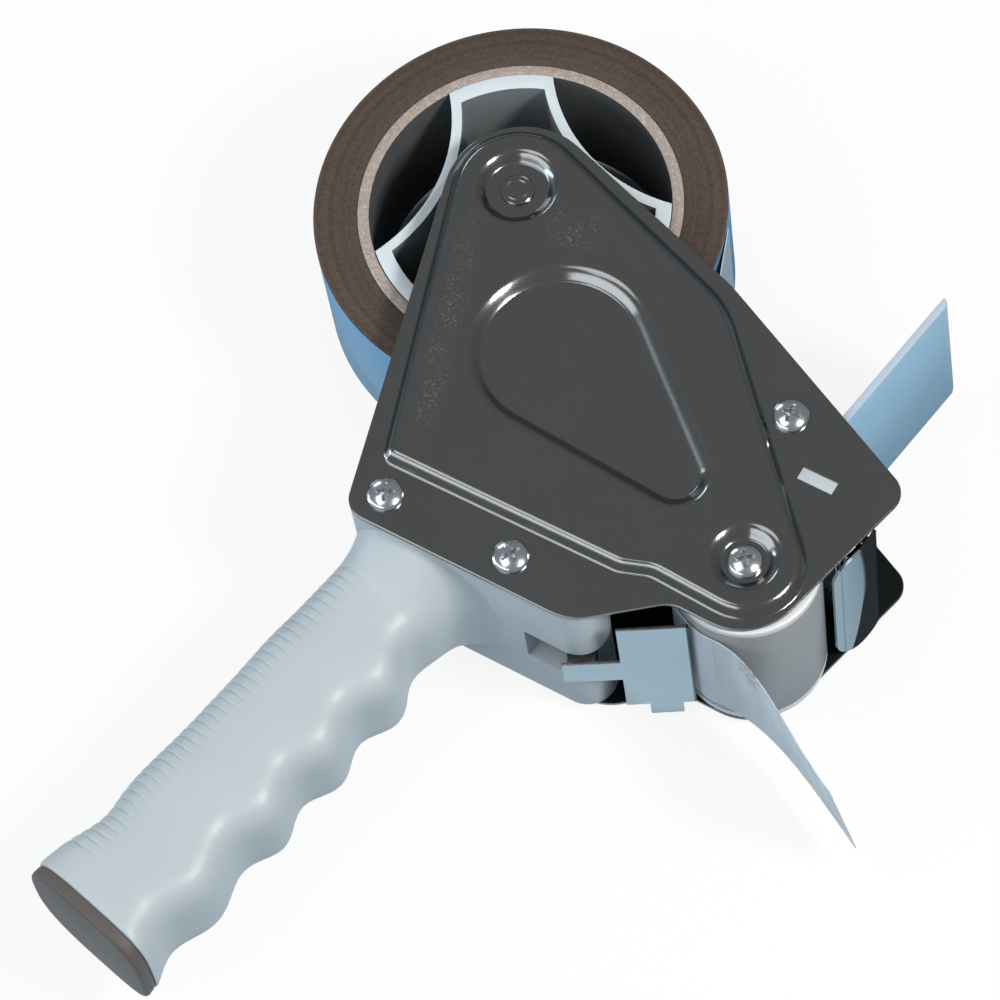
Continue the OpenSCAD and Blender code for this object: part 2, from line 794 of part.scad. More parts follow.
// Outline of the blade, flat: rounded lower corners and a row of teeth along the top
blade_corner_r = 7;
tooth_pitch = blade_len / tooth_count;
blade_left = [-blade_len / 2, blade_h - tooth_h];
blade_right = [blade_len / 2, blade_h - tooth_h];
blade_base = [[-blade_len / 2, 0], [blade_len / 2, 0]];
blade_outline = concat(
    corner_arc(blade_left, blade_base[0], blade_base[1], blade_corner_r, 8),
    corner_arc(blade_base[0], blade_base[1], blade_right, blade_corner_r, 8),
    [for (k = [0:tooth_count - 1]) each [
        blade_right - [k * tooth_pitch, 0],
        blade_right + [-(k + 0.5) * tooth_pitch, tooth_h]
    ]],
    [blade_left]
);

module blade() {
    color(plated) in_blade_frame() intersection() {
        blade_sheet();
        rotate([0, -90, 0]) linear_extrude(16, center = true) polygon(blade_outline);
    }
}

// Bar behind the blade: a web with two ribs that meet the blade and a flange on each plate
bar_t = 1.5;
bar_front = -0.8;
bar_low = 3.5;
bar_high = blade_h - 3.5;
flange_low = 7;
flange_back = -9;
rib_t = 1;

// Reach of a rib from the web to just short of the blade's hollow face, at the height v
function rib_reach(v) =
    let (w = max(abs(v - blade_h / 2), abs(v + rib_t - blade_h / 2)))
    bow_at + sqrt(pow(bow_r, 2) - w * w) - bar_front - hole_gap;

module blade_bar() {
    color(black_paint) in_blade_frame() {
        translate([bar_front - bar_t, bar_low, -gap_w / 2]) cube([bar_t, bar_high - bar_low, gap_w]);
        for (v = [bar_low + 1, bar_high - rib_t - 1]) {
            translate([bar_front - eps, v, -blade_len / 2]) cube([rib_reach(v) + eps, rib_t, blade_len]);
        }
        for (z = [-gap_w / 2, gap_w / 2 - bar_t]) {
            translate([flange_back, flange_low, z])
                cube([bar_front - flange_back - eps, bar_high - flange_low, bar_t]);
        }
    }
}

// Wiper

tenon_w = 9.4;
tenon_t = 3.3;
socket_r = bead_r + 2.2;
bead_at = bar_at + [-4.7, 5.9];
swing = 15;

module in_wiper_frame() {
    at_hub() translate([bead_at[0], bead_at[1], 0]) rotate(-wiper_lean) children();
}

module wiper_bar() {
    mouth = swing + asin(wiper_t / 2 / bead_r) + 4;
    reach = 3 * socket_r;
    color(pale_grey) difference() {
        union() {
            at_hub() translate([bar_x, bar_y, 0]) {
                translate([-tenon_w / 2 - 1, -tenon_t / 2 - 1.5, far_in]) cube([tenon_w + 2, tenon_t + 4, gap_w]);
                translate([-tenon_w / 2, -tenon_t / 2, far_out]) cube([tenon_w, tenon_t, gap_w + 2 * plate_t]);
            }
            in_wiper_frame() translate([0, 0, far_in + 0.5]) cylinder(r = socket_r, h = gap_w - 1);
        }
        in_wiper_frame() translate([0, 0, far_in - 1]) {
            cylinder(r = bead_r + run_gap, h = gap_w + 2);
            linear_extrude(gap_w + 2)
                polygon([[0, 0], reach * heading(90 - mouth), reach * heading(90), reach * heading(90 + mouth)]);
        }
    }
}

module wiper_flap() {
    width = gap_w - 2 * wiper_side;
    bevel = 1.8;
    color(pale_blue) in_wiper_frame() translate([0, 0, far_in + wiper_side]) {
        cylinder(r = bead_r, h = width);
        linear_extrude(width) polygon([
            [-wiper_t / 2, 0],
            [wiper_t / 2, 0],
            [wiper_t / 2, wiper_len - bevel],
            [0, wiper_len],
            [-wiper_t / 2, wiper_len]
        ]);
    }
}

// Screws

module pan_screw() {
    dome_r = (pow(screw_head_r, 2) + pow(screw_head_h - 0.8, 2)) / (2 * (screw_head_h - 0.8));
    intersection() {
        cylinder(r = screw_head_r, h = screw_head_h);
        translate([0, 0, screw_head_h - dome_r]) sphere(r = dome_r);
    }
    translate([0, 0, -plate_t - screw_len]) cylinder(r = screw_r, h = plate_t + screw_len + eps);
}

module main_plate_screws() {
    color(plated) at_hub() for (at = screw_places) {
        translate([at[0], at[1], near_out]) pan_screw();
    }
}

module guide_plate_screws() {
    color(plated) at_hub() for (at = screw_places) {
        translate([at[0], at[1], far_out]) mirror([0, 0, 1]) pan_screw();
    }
}

main_side_plate();
guide_side_plate();
handle();
handle_end_cap();
hub_axle();
tape_hub();
brake_washers();
brake_spring();
tension_nut();
tape_core();
tape_roll();
tape_web();
tape_tail();
roller_sleeve();
roller_end_caps();
roller_axle();
retainer_plate();
retainer_pin();
retainer_spring();
blade();
blade_bar();
wiper_bar();
wiper_flap();
front_post();
main_plate_screws();
guide_plate_screws();
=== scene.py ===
import math

import bmesh
import bpy
import numpy as np
from bpy.props import FloatProperty, FloatVectorProperty, IntProperty, PointerProperty
from bpy.types import Operator, Panel, PropertyGroup
from mathutils import Matrix, Quaternion, Vector
from mathutils.geometry import delaunay_2d_cdt


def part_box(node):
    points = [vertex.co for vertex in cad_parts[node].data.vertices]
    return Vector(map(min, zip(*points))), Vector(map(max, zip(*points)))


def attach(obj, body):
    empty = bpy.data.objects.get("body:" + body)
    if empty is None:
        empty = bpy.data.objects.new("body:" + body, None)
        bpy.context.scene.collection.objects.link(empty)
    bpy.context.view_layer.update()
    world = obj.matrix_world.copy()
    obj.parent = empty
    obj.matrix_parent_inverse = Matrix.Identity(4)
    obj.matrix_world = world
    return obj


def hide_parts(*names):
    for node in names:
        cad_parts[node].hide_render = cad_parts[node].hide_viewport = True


bl_info = {
    "name": "Packing tape dispenser",
    "version": (1, 0, 0),
    "blender": (4, 5, 0),
    "location": "View3D > Sidebar > Tape dispenser",
    "description": "Finishes the packing tape dispenser and sets it on a studio floor",
    "category": "Object",
}

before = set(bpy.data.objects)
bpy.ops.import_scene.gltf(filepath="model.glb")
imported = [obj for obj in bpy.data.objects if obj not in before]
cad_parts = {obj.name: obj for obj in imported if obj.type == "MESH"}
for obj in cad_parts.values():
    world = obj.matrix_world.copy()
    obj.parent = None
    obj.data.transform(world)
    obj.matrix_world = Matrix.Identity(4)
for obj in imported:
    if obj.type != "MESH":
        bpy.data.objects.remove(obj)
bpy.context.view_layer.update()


def mm_box(node):
    """Lowest and highest corner of a CAD node in millimetres."""
    low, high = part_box(node)
    return np.array(low) * 1000, np.array(high) * 1000


# Axes and levels of the frame, in millimetres; outlines are drawn from the hub axis
HUB = np.mean(mm_box("tape_roll"), axis=0)[:2]
ROLLER = np.mean(mm_box("roller_sleeve"), axis=0)[:2] - HUB
POST = np.mean(mm_box("front_post"), axis=0)[:2] - HUB
NEAR_IN = mm_box("main_side_plate")[0][2]
FAR_IN = mm_box("guide_side_plate")[1][2]
MID_Z = (NEAR_IN + FAR_IN) / 2
TAPE_LOW, TAPE_HIGH = mm_box("tape_roll")[0][2], mm_box("tape_roll")[1][2]

# Lower edge of the main plate, the head's nose and levels, the wiper bar and the plate's front corners
BASE_Y = -96.0
NOSE_X = 66.4
HEAD_LOW, HEAD_TOP = BASE_Y + 0.8, BASE_Y + 16.0
BAR = np.array([104.4, -35.7])
FRONT = ROLLER + [25.7, 34.1]
CHIN = ROLLER + [12.7, -18.1]
SCREWS = [np.array([14.1, -87.8]), np.array([49.3, -87.8]), POST, ROLLER]
FORK_Z = MID_Z - 3

# Corners of a square, counter-clockwise
SQUARE = ((-1, -1), (1, -1), (1, 1), (-1, 1))

# Straight edges as (distance from the hub axis, outward heading in degrees)
PLATE_REAR, PLATE_FORE = (18.4, 195.3), (19.3, 72.6)
PANEL_REAR, PANEL_FORE = (16.2, 198), (16.2, 71)
HEAD_REAR = (17.4, 195.3)

# The grip leans back below the head; the first finger's wave lies at FINGER_FIRST below the plate
GRIP_LEN = 114.0
GRIP_LEAN = math.radians(13)
GRIP_TOP = np.array([22, BASE_Y])
GRIP_DOWN = -np.array([math.sin(GRIP_LEAN), math.cos(GRIP_LEAN)])
GRIP_OUT = np.array([math.cos(GRIP_LEAN), -math.sin(GRIP_LEAN)])
FINGER_FIRST, FINGER_PITCH, FINGER_SWELL = 27.3, 22.3, 1.8

# Retainer's heading, the wiper flap's root and way, the free tape's start and half thickness
RETAINER_HEADING = 31.5
WIPER_ROOT = np.array([99.7, -29.8])
WIPER_WAY = np.array([math.sin(math.radians(9)), math.cos(math.radians(9))])
TAIL_HEADING, TAIL_R, TAIL_HALF = 273, 18.65, 0.12


def srgb(red, green, blue):
    """Linear colour of a screen colour given from 0 to 255."""
    return tuple(
        c / 12.92 if c <= 0.04045 else ((c + 0.055) / 1.055) ** 2.4
        for c in (red / 255, green / 255, blue / 255)
    )


def shade(colour, factor):
    """The colour made darker or lighter by a factor."""
    return [c * factor for c in colour]


def colour_property(name, text, default):
    """Linear colour of red, green and blue."""
    return FloatVectorProperty(
        name=name, description=text, subtype="COLOR", size=3, min=0, max=1, default=default
    )


def size_property(name, text, default):
    """Length in millimetres."""
    return FloatProperty(name=name, description=text + ", in millimetres", default=default, min=0)


def power_property(name, text, default):
    """Power of a lamp in watts."""
    return FloatProperty(name=name, description="Power of " + text, unit="POWER", default=default)


class PlateProps(PropertyGroup):
    sheet: size_property("Sheet", "Thickness of the steel sheet", 1.2)
    panel: size_property("Panel height", "Height of the raised panel above the rim", 2.6)
    step: size_property("Step width", "Width of the sloping step round the panel", 2.2)
    soft: size_property("Step rounding", "How far each end of the step is rounded", 1.1)
    edge: size_property("Edge rounding", "Rounding of the cut edges", 0.28)
    paint: colour_property("Paint", "Colour of the black paint", srgb(20, 26, 27))
    # Besides the fine flecks everywhere, this colour also makes the painted highlight beside the panel's
    # edge.
    fleck: colour_property("Fleck", "Colour of the warm flecks in the paint", srgb(116, 107, 78))


class ScrewProps(PropertyGroup):
    head_r: size_property("Head radius", "Radius of the pan heads", 4.45)
    head_h: size_property("Head height", "Height of the pan heads", 2.3)
    cross: size_property("Cross length", "Reach of each arm of the cross slot", 2.2)
    cross_w: size_property("Cross width", "Half width of an arm of the cross slot", 0.5)
    cross_d: size_property("Cross depth", "Depth of the cross slot", 1.5)
    plating: colour_property("Plating", "Colour of the bright plating", srgb(216, 221, 226))


class HandleProps(PropertyGroup):
    first: size_property("First groove", "Distance of the first groove below the plate", 10.5)
    pitch: size_property("Groove spacing", "Spacing of the grooves on the back", 2.62)
    count: IntProperty(name="Grooves", description="Number of grooves on the back", default=37, min=1, max=60)
    depth: size_property("Groove depth", "Depth of the grooves", 0.42)
    reach: size_property("Groove reach", "How far a groove runs round the side", 12.0)
    plastic: colour_property("Plastic", "Colour of the handle", srgb(192, 202, 207))
    cap: colour_property("End cap", "Colour of the end cap", srgb(94, 87, 84))


class TapeProps(PropertyGroup):
    light: colour_property("Light layers", "Lighter colour of the wound edges", srgb(96, 82, 72))
    dark: colour_property("Dark layers", "Darker colour of the wound edges", srgb(68, 57, 50))
    # Blue film colour: a painted reflection of blue surroundings on brown tape.
    film: colour_property("Film", "Colour of the outer film", srgb(120, 180, 226))
    board: colour_property("Core", "Colour of the cardboard", srgb(190, 176, 166))
    inner_wall: colour_property("Core liner", "Colour of the inside of the core", srgb(70, 73, 75))
    clear: colour_property("Free tape", "Colour of a single layer of tape", srgb(206, 221, 231))


class MetalProps(PropertyGroup):
    zinc: colour_property("Zinc", "Colour of the plated sheet", srgb(176, 193, 201))
    cut: colour_property("Cut edge", "Colour of the cut edges of the sheet", srgb(96, 70, 56))
    blade: colour_property("Blade", "Colour of the plated blade", srgb(182, 200, 206))
    # The band colour is a painted dark reflection.
    band: colour_property("Blade band", "Colour of the blackened band of the blade", srgb(24, 25, 26))
    steel: colour_property("Steel", "Colour of the bare steel", srgb(188, 190, 194))


class PlasticProps(PropertyGroup):
    roller: colour_property("Roller", "Colour of the roller", srgb(156, 160, 161))
    white: colour_property("Roller caps", "Colour of the roller's end caps", srgb(236, 238, 238))
    wiper: colour_property("Wiper", "Colour of the wiper flap", srgb(174, 218, 244))
    # The rim colour is a painted edge highlight.
    rim: colour_property("Wiper rim", "Colour of the wiper's thin rim", srgb(204, 216, 232))
    nut: colour_property("Nut", "Colour of the tension nut", srgb(58, 60, 62))


class StageProps(PropertyGroup):
    lens: FloatProperty(name="Lens", description="Focal length of the camera", unit="CAMERA", default=175.0)
    main: power_property("Main lamp", "the lamp on the right", 9.8)
    front: power_property("Front box", "the long soft box in front", 2.9)
    top: power_property("Top box", "the small soft box overhead", 1.6)
    back: power_property("Back strip", "the strip at the back left", 0.7)
    left: power_property("Left box", "the low soft box on the left", 1.4)
    horizon: FloatProperty(name="Horizon", description="Strength of the light along the floor", default=0.25)
    zenith: FloatProperty(name="Zenith", description="Strength of the light from above", default=0.27)
    floor: colour_property("Floor", "Colour of the floor as it is seen", (0.95, 0.95, 0.95))
    mirrored: colour_property("Floor mirrored", "Colour of the front floor in shiny parts", (0.78, 0.9, 0.98))
    bounce: colour_property("Floor bounce", "Colour that the floor throws back", (0.15, 0.22, 0.3))


GROUPS = {
    "dispenser_plates": PlateProps,
    "dispenser_screws": ScrewProps,
    "dispenser_handle": HandleProps,
    "dispenser_tape": TapeProps,
    "dispenser_metal": MetalProps,
    "dispenser_plastic": PlasticProps,
    "dispenser_stage": StageProps,
}


# Node graphs


class Wire:
    """Output of a node that takes part in Python sums."""

    def __init__(self, graph, node, key=0):
        self.graph = graph
        self.node = node
        self.socket = node.outputs[key]

    def out(self, key):
        """Another output of the same node."""
        return Wire(self.graph, self.node, key)

    def __add__(self, other):
        return self.graph.math("ADD", self, other)

    def __sub__(self, other):
        return self.graph.math("SUBTRACT", self, other)

    def __mul__(self, other):
        return self.graph.math("MULTIPLY", self, other)

    def __truediv__(self, other):
        return self.graph.math("DIVIDE", self, other)

    def __abs__(self):
        return self.graph.math("ABSOLUTE", self)

    def __radd__(self, other):
        return self.graph.math("ADD", other, self)

    def __rsub__(self, other):
        return self.graph.math("SUBTRACT", other, self)

    def __rmul__(self, other):
        return self.graph.math("MULTIPLY", other, self)


class Graph:
    """Node tree that is written as sums of its sockets."""

    def __init__(self, tree):
        self.tree = tree

    def node(self, kind, settings=None, sockets=None, out=0):
        """New node with its settings and inputs, as the wire of one of its outputs."""
        made = self.tree.nodes.new(kind)
        for key, value in (settings or {}).items():
            setattr(made, key, value)
        for key, value in (sockets or {}).items():
            if isinstance(value, Wire):
                self.tree.links.new(value.socket, made.inputs[key])
            else:
                made.inputs[key].default_value = value
        return Wire(self, made, out) if made.outputs else made

    def math(self, operation, a, b=0.0):
        """Math node on one or two values."""
        return self.node("ShaderNodeMath", {"operation": operation}, {0: a, 1: b})

    def most(self, a, b):
        """The larger of two values."""
        return self.math("MAXIMUM", a, b)

    def length(self, x, y):
        """Length of the way (x, y)."""
        return self.math("SQRT", x * x + y * y)

    def smooth(self, value, start, end):
        """0 before start, 1 after end and smooth between them."""
        low, high = min(start, end), max(start, end)
        ends = {3: 0.0, 4: 1.0} if end > start else {3: 1.0, 4: 0.0}
        return self.node(
            "ShaderNodeMapRange", {"interpolation_type": "SMOOTHSTEP"}, {0: value, 1: low, 2: high, **ends}
        )


class Look(Graph):
    """Material whose patterns lie on the object's own coordinates."""

    def __init__(self, name):
        self.material = bpy.data.materials.new(name)
        self.material.use_nodes = True
        super().__init__(self.material.node_tree)
        self.tree.nodes.clear()
        self.spot = self.node("ShaderNodeTexCoord", out="Object")

    def place(self):
        """x and y from the hub axis and z from the floor, in millimetres."""
        parts = self.node("ShaderNodeSeparateXYZ", {}, {0: self.spot})
        return parts * 1000 - HUB[0], parts.out(1) * 1000 - HUB[1], parts.out(2) * 1000

    def along(self, way, start=(0, 0)):
        """How far along a way a place lies from the start, in millimetres."""
        x, y, _ = self.place()
        return (x - start[0]) * way[0] + (y - start[1]) * way[1]

    def facing(self, way):
        """How squarely the surface faces along the given way, from -1 to 1."""
        normal = self.node("ShaderNodeNewGeometry", out="Normal")
        return self.node("ShaderNodeVectorMath", {"operation": "DOT_PRODUCT"}, {0: normal, 1: way}, "Value")

    def level_side(self):
        """1 on faces that look up or down and 0 on upright ones."""
        return self.smooth(abs(self.facing((0, 0, 1))), 0.5, 0.8)

    def noise(self, size, detail=2.0, stretch=None):
        """Even noise with spots of about the given size in millimetres."""
        spot = self.spot
        if stretch:
            spot = self.node("ShaderNodeMapping", {}, {"Vector": spot, "Scale": stretch})
        sockets = {"Vector": spot, "Scale": 1000 / size, "Detail": detail, "Roughness": 0.55}
        return self.node("ShaderNodeTexNoise", {}, sockets)

    def cells(self, size):
        """Rounded cells of about the given size in millimetres."""
        return self.node(
            "ShaderNodeTexVoronoi", {"feature": "SMOOTH_F1"}, {"Vector": self.spot, "Scale": 1000 / size}
        )

    def streaks(self, value, rate):
        """Noise along one value, such as a radius."""
        return self.node(
            "ShaderNodeTexNoise", {"noise_dimensions": "1D"}, {"W": value, "Scale": rate, "Detail": 3.0}
        )

    def tint(self, colour):
        """A wire as it is, or a plain colour with its alpha."""
        return colour if isinstance(colour, Wire) else (*colour, 1.0)

    def mix(self, share, a, b):
        """Colour that passes from a to b."""
        sockets = {0: share, 6: self.tint(a), 7: self.tint(b)}
        return self.node("ShaderNodeMix", {"data_type": "RGBA"}, sockets, 2)

    def fade(self, share, colour, factor):
        """Colour that passes to a shade of its own."""
        return self.mix(share, colour, shade(colour, factor))

    def shader(self, colour, roughness, height=None, depth=0.0, **sockets):
        """Principled shader; depth is the height of the bumps in millimetres."""
        values = {"Base Color": self.tint(colour), "Roughness": roughness}
        if height is not None:
            values["Normal"] = self.node(
                "ShaderNodeBump", {}, {"Strength": 1.0, "Distance": depth / 1000, "Height": height}
            )
        values.update(sockets)
        return self.node("ShaderNodeBsdfPrincipled", {}, values)

    def end(self, shader):
        """The finished material."""
        self.node("ShaderNodeOutputMaterial", {}, {"Surface": shader})
        return self.material

    def surface(self, *values, **sockets):
        """Material of one principled shader."""
        return self.end(self.shader(*values, **sockets))

    def blend(self, share, a, b):
        """Material that passes from shader a to shader b."""
        return self.end(self.node("ShaderNodeMixShader", {}, {0: share, 1: a, 2: b}))


# Finishes


def paint_finish(props):
    """Black stoved paint with a fine grain and warm flecks, massed into a painted highlight beside the
    panel's edge; inside it is dull, with painted shade.
    """
    look = Look("black_paint")
    x, y, z = look.place()
    grain = look.noise(0.5)
    # The flecks gather in a band beside the panel's rear edge and in one spot near the hub: a painted
    # highlight.
    away = abs(look.along(heading(PANEL_REAR[1])) - 8.5)
    fleck_highlight = look.smooth(away, 5.0, 0.5) * look.smooth(y, -80, -55) * look.smooth(y, -6, -22)
    spot = look.length(x - 19, y + 4)
    fleck_highlight = look.most(fleck_highlight, look.smooth(spot, 10, 2))
    speck = look.smooth(look.noise(0.7), 0.52, 0.66) * look.smooth(look.noise(7), 0.3, 0.6)
    worn = look.smooth(look.noise(34, 3.0), 0.35, 0.75)
    # Upward inner faces low down, such as the guide plate's: rougher there, and the darker colour is painted
    # shade.
    inner = look.smooth(z, 8, 6) * look.smooth(look.facing((0, 0, 1)), 0.5, 0.9)
    colour = look.fade(worn * 0.35, props.paint, 1.35)
    colour = look.mix(speck * (0.05 + 0.6 * fleck_highlight), colour, props.fleck)
    painted = look.shader(colour, 0.1 + 0.1 * grain + 0.04 * worn + 0.06 * fleck_highlight, grain, 0.004, IOR=2.8)
    # Rough, low-shine copy of the paint whose darker colour is painted shade.
    dull = look.shader(shade(props.paint, 0.6), 0.5 + 0.2 * grain, **{"Specular IOR Level": 0.15})
    return look.blend(inner, painted, dull)


def plating_finish(name, colour, roughness):
    """Bright plated steel with a fine milky grain."""
    look = Look(name)
    haze = look.noise(2.2, 3.0)
    tone = look.fade(haze * 0.5, colour, 0.78)
    return look.surface(tone, roughness + 0.12 * haze, look.noise(0.4), 0.004, Metallic=1.0)


def moulded_finish(name, colour, grain, roughness):
    """Moulded plastic with leather grain; grain is the depth of its cells."""
    look = Look(name)
    cloud = look.noise(22, 3.0)
    cells = look.cells(1.15)
    tone = look.fade(look.smooth(cloud, 0.3, 0.75) * 0.4, colour, 0.92)
    specks = look.smooth(look.noise(0.8, 1.0), 0.75, 0.82)
    tone = look.mix(specks * 0.2, tone, shade(colour, 0.3))
    return look.surface(tone, roughness + 0.14 * cloud, cells + 0.5 * look.noise(0.35), grain)


def hub_finish(colour):
    """Hub plastic, painted darker on the upright walls as painted shade and lighter on the rims as if lit."""
    look = Look("hub_plastic")
    # Faces that look up are painted lighter as if lit; the upright walls are painted darker as painted shade.
    rim = look.smooth(look.facing((0, 0, 1)), 0.55, 0.9)
    cloud = look.noise(9, 3.0)
    wall = look.mix(cloud * 0.5, shade(colour, 0.42), shade(colour, 0.3))
    tone = look.mix(rim, wall, shade(colour, 1.4))
    return look.surface(tone, 0.36 + 0.14 * cloud, look.noise(0.5), 0.008)


def roll_finish(props):
    """Brown tape: fine rings on the wound sides and a glossy film, blue as in the photo, round them."""
    look = Look("brown_tape")
    x, y, _ = look.place()
    radius = look.length(x, y)
    rings = look.streaks(radius, 7.5)
    broad = look.streaks(radius, 0.7)
    fibre = look.noise(0.9, 3.0)
    share = look.smooth(0.4 * rings + 0.3 * broad + 0.45 * fibre, 0.38, 0.78)
    wound = look.mix(share, props.dark, props.light)
    side = look.most(look.level_side(), look.smooth(radius, 45, 44))
    # The film's blue is a painted reflection of blue surroundings; the tape itself is brown. The noise makes
    # it cloudy.
    cloudy = look.fade(look.noise(18, 3.0) * 0.5, props.film, 0.7)
    colour = look.mix(side, cloudy, wound)
    gloss = {"Specular IOR Level": 0.35}
    return look.surface(colour, 0.24 + side * (0.3 + 0.2 * rings), rings * side, 0.02, **gloss)


def board_finish(props):
    """Cardboard with grey and pink fibres on its ends, darker on its inside wall."""
    look = Look("core_board")
    fibre = look.noise(0.55, 3.0)
    flake = look.noise(1.5)
    tone = look.mix(look.smooth(fibre, 0.4, 0.66), shade(props.board, 0.72), props.board)
    tone = look.mix(look.smooth(flake, 0.52, 0.7) * 0.5, tone, srgb(206, 196, 190))
    # The upright inside wall of the core is darker than its ends.
    inner_wall = look.fade(look.noise(5) * 0.6, props.inner_wall, 1.7)
    return look.surface(look.mix(look.level_side(), inner_wall, tone), 0.62 + 0.2 * fibre, fibre, 0.05)


def film_finish(props):
    """Single layer of tape: milky film with soft streaks along it, darker in patches at its two creases."""
    look = Look("single_tape")
    streak = look.noise(6, 3.0, (1.0, 1.0, 0.25))
    along, across = (
        look.node("ShaderNodeAttribute", {"attribute_name": name}, out="Fac") for name in ("along", "across")
    )
    # Darker patches where the tail creases, at two places along it.
    first = look.smooth(abs(along - 0.28), 0.12, 0.05) * look.smooth(across, 0.66, 0.8)
    second = look.smooth(abs(along - 0.84), 0.05, 0.0) * look.smooth(across, 0.4, 1.0)
    crease_dark = (first + 0.5 * second) * look.smooth(look.noise(1.1, 3.0), 0.4, 0.62)
    tone = look.fade(look.smooth(streak, 0.3, 0.7) * 0.6, props.clear, 0.72)
    tone = look.mix(crease_dark * 0.7, tone, srgb(84, 78, 72))
    return look.surface(tone, 0.2 + 0.2 * streak, streak, 0.06, Alpha=0.86 + 0.14 * streak)


def retainer_finish(props):
    """Zinc-plated sheet whose cut edges are coppery, with a dark line of painted shade along its far edge."""
    look = Look("zinc_sheet")
    haze = look.noise(5, 3.0)
    way = heading(RETAINER_HEADING)
    cut = look.smooth(abs(look.facing((*leftward(way), 0))), 0.75, 0.45)
    tone = look.fade(haze * 0.4, props.zinc, 0.86)
    tone = look.mix(cut * (0.4 + 0.6 * look.noise(0.8)), tone, props.cut)
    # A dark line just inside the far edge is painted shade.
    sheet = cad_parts["retainer_plate"].data
    last = max((np.array(v.co[:2]) * 1000 - HUB) @ way for v in sheet.vertices)
    line = look.smooth(look.along(way), last - 0.7, last - 0.4)
    tone = look.mix(line * 0.9, tone, srgb(30, 30, 32))
    return look.surface(tone, 0.26 + 0.12 * haze, look.noise(0.5), 0.004, Metallic=0.92)


def blade_finish(props):
    """Plated blade with a dark band along its teeth that is a painted dark reflection, and painted shade at
    the bend by its bar.
    """
    look = Look("blade_steel")
    _, _, z = look.place()
    rise = look.along(unit(FRONT - CHIN), CHIN) - 27.0
    saw = look.math("PINGPONG", z, 0.8)
    edge = 8.7 - 0.0043 * (z - 38) * (z - 38) + 1.5 * saw * look.smooth(z, 22, 34)
    # The dark band along the teeth is a painted dark reflection of dark surroundings.
    band = look.smooth(rise - edge, -0.12, 0.12)
    # A darker line where the blade bends round its bar is painted shade.
    hem = look.smooth(abs(rise - 2.1), 0.3, 0.1)
    haze = look.noise(3, 3.0)
    tone = look.fade(haze * 0.35, props.blade, 0.85)
    tone = look.mix(hem * 0.5, tone, shade(props.blade, 0.3))
    plated = look.shader(tone, 0.24 + 0.1 * haze, look.noise(0.5), 0.004, Metallic=0.95)
    # Dark shader for the band of painted reflection, with the teeth lighter in it.
    comb = look.fade(look.smooth(saw, 0.45, 0.7) * 0.5, props.band, 4)
    black = look.shader(comb, 0.5 + 0.2 * haze, **{"Specular IOR Level": 0.1})
    return look.blend(band, plated, black)


def wiper_slant(z):
    """How much farther the wiper's end reaches at the height z, as a number or a wire."""
    low, high = mm_box("wiper_flap")
    return 2.5 * (high[2] - z) / (high[2] - low[2]) - 0.7


def wiper_finish(props):
    """Pale blue flexible plastic, lighter along its rim as a painted highlight."""
    look = Look("wiper_plastic")
    _, _, z = look.place()
    low, high = mm_box("wiper_flap")
    # The lighter rim along the free end and the two long edges is a painted edge highlight.
    rim = look.smooth(look.along(WIPER_WAY, WIPER_ROOT) - wiper_slant(z), 51.4, 51.8) * 0.5
    rim = look.most(rim, look.smooth(z, high[2] - 0.7, high[2] - 0.3))
    rim = look.most(rim, look.smooth(z, low[2] + 0.7, low[2] + 0.3))
    cloud = look.noise(16, 3.0)
    tone = look.fade(look.smooth(cloud, 0.3, 0.7) * 0.3, props.wiper, 0.88)
    tone = look.mix(rim * 0.8, tone, props.rim)
    return look.surface(tone, 0.3 + 0.12 * cloud, look.noise(1.2), 0.008, **{"Transmission Weight": 0.12})


def roller_finish(props):
    """Turned light grey roller with faint scuffs round it."""
    look = Look("roller_plastic")
    _, _, z = look.place()
    scuff = look.streaks(z, 1.8)
    cloud = look.noise(12, 3.0)
    tone = look.fade(look.smooth(scuff, 0.45, 0.75) * 0.22, props.roller, 0.7)
    tone = look.mix(cloud * 0.2, tone, shade(props.roller, 0.8))
    return look.surface(tone, 0.3 + 0.15 * cloud, scuff, 0.02)


# Outlines, in millimetres from the hub axis


def unit(v):
    """The same way with the length 1."""
    return v / np.linalg.norm(v)


def heading(degrees):
    """Way of length 1 at an angle from the X axis."""
    return np.array([math.cos(math.radians(degrees)), math.sin(math.radians(degrees))])


def leftward(v):
    """The way turned a quarter to the left."""
    return np.array([-v[1], v[0]])


def arc(centre, r, turns):
    """Points on a circle at the given angles in radians."""
    return np.asarray(centre) + r * np.stack([np.cos(turns), np.sin(turns)], axis=1)


def full_turn(steps):
    """Even angles round a circle, in radians."""
    return np.linspace(0, 2 * math.pi, steps, endpoint=False)


def circle(centre, r, steps=64):
    """Closed outline of a circle."""
    return arc(centre, r, full_turn(steps))


def line_corner(p, a, q, b):
    """Corner of two lines at the distances p and q from the hub, with outward headings a and b."""
    ca, sa, cb, sb = *heading(a), *heading(b)
    return np.array([p * sb - q * sa, q * ca - p * cb]) / math.sin(math.radians(b - a))


def on_line_x(r, a, x):
    """Point at x on the line at the distance r from the hub with the outward heading a."""
    return (x, (r - x * heading(a)[0]) / heading(a)[1])


def on_line_y(r, a, y):
    """Point at y on the line at the distance r from the hub with the outward heading a."""
    return ((r - y * heading(a)[1]) / heading(a)[0], y)


def corner_arc(a, b, c, r, steps):
    """Points of the arc that rounds the corner b between a and c."""
    u, v = unit(a - b), unit(c - b)
    half = math.acos(np.clip(u @ v, -1, 1)) / 2
    centre = b + unit(u + v) * r / math.sin(half)
    start, end = (b + w * r / math.tan(half) - centre for w in (u, v))
    angle = math.atan2(start[1], start[0])
    sweep = (math.atan2(end[1], end[0]) - angle + 3 * math.pi) % (2 * math.pi) - math.pi
    return arc(centre, r, angle + sweep * np.linspace(0, 1, steps + 1))


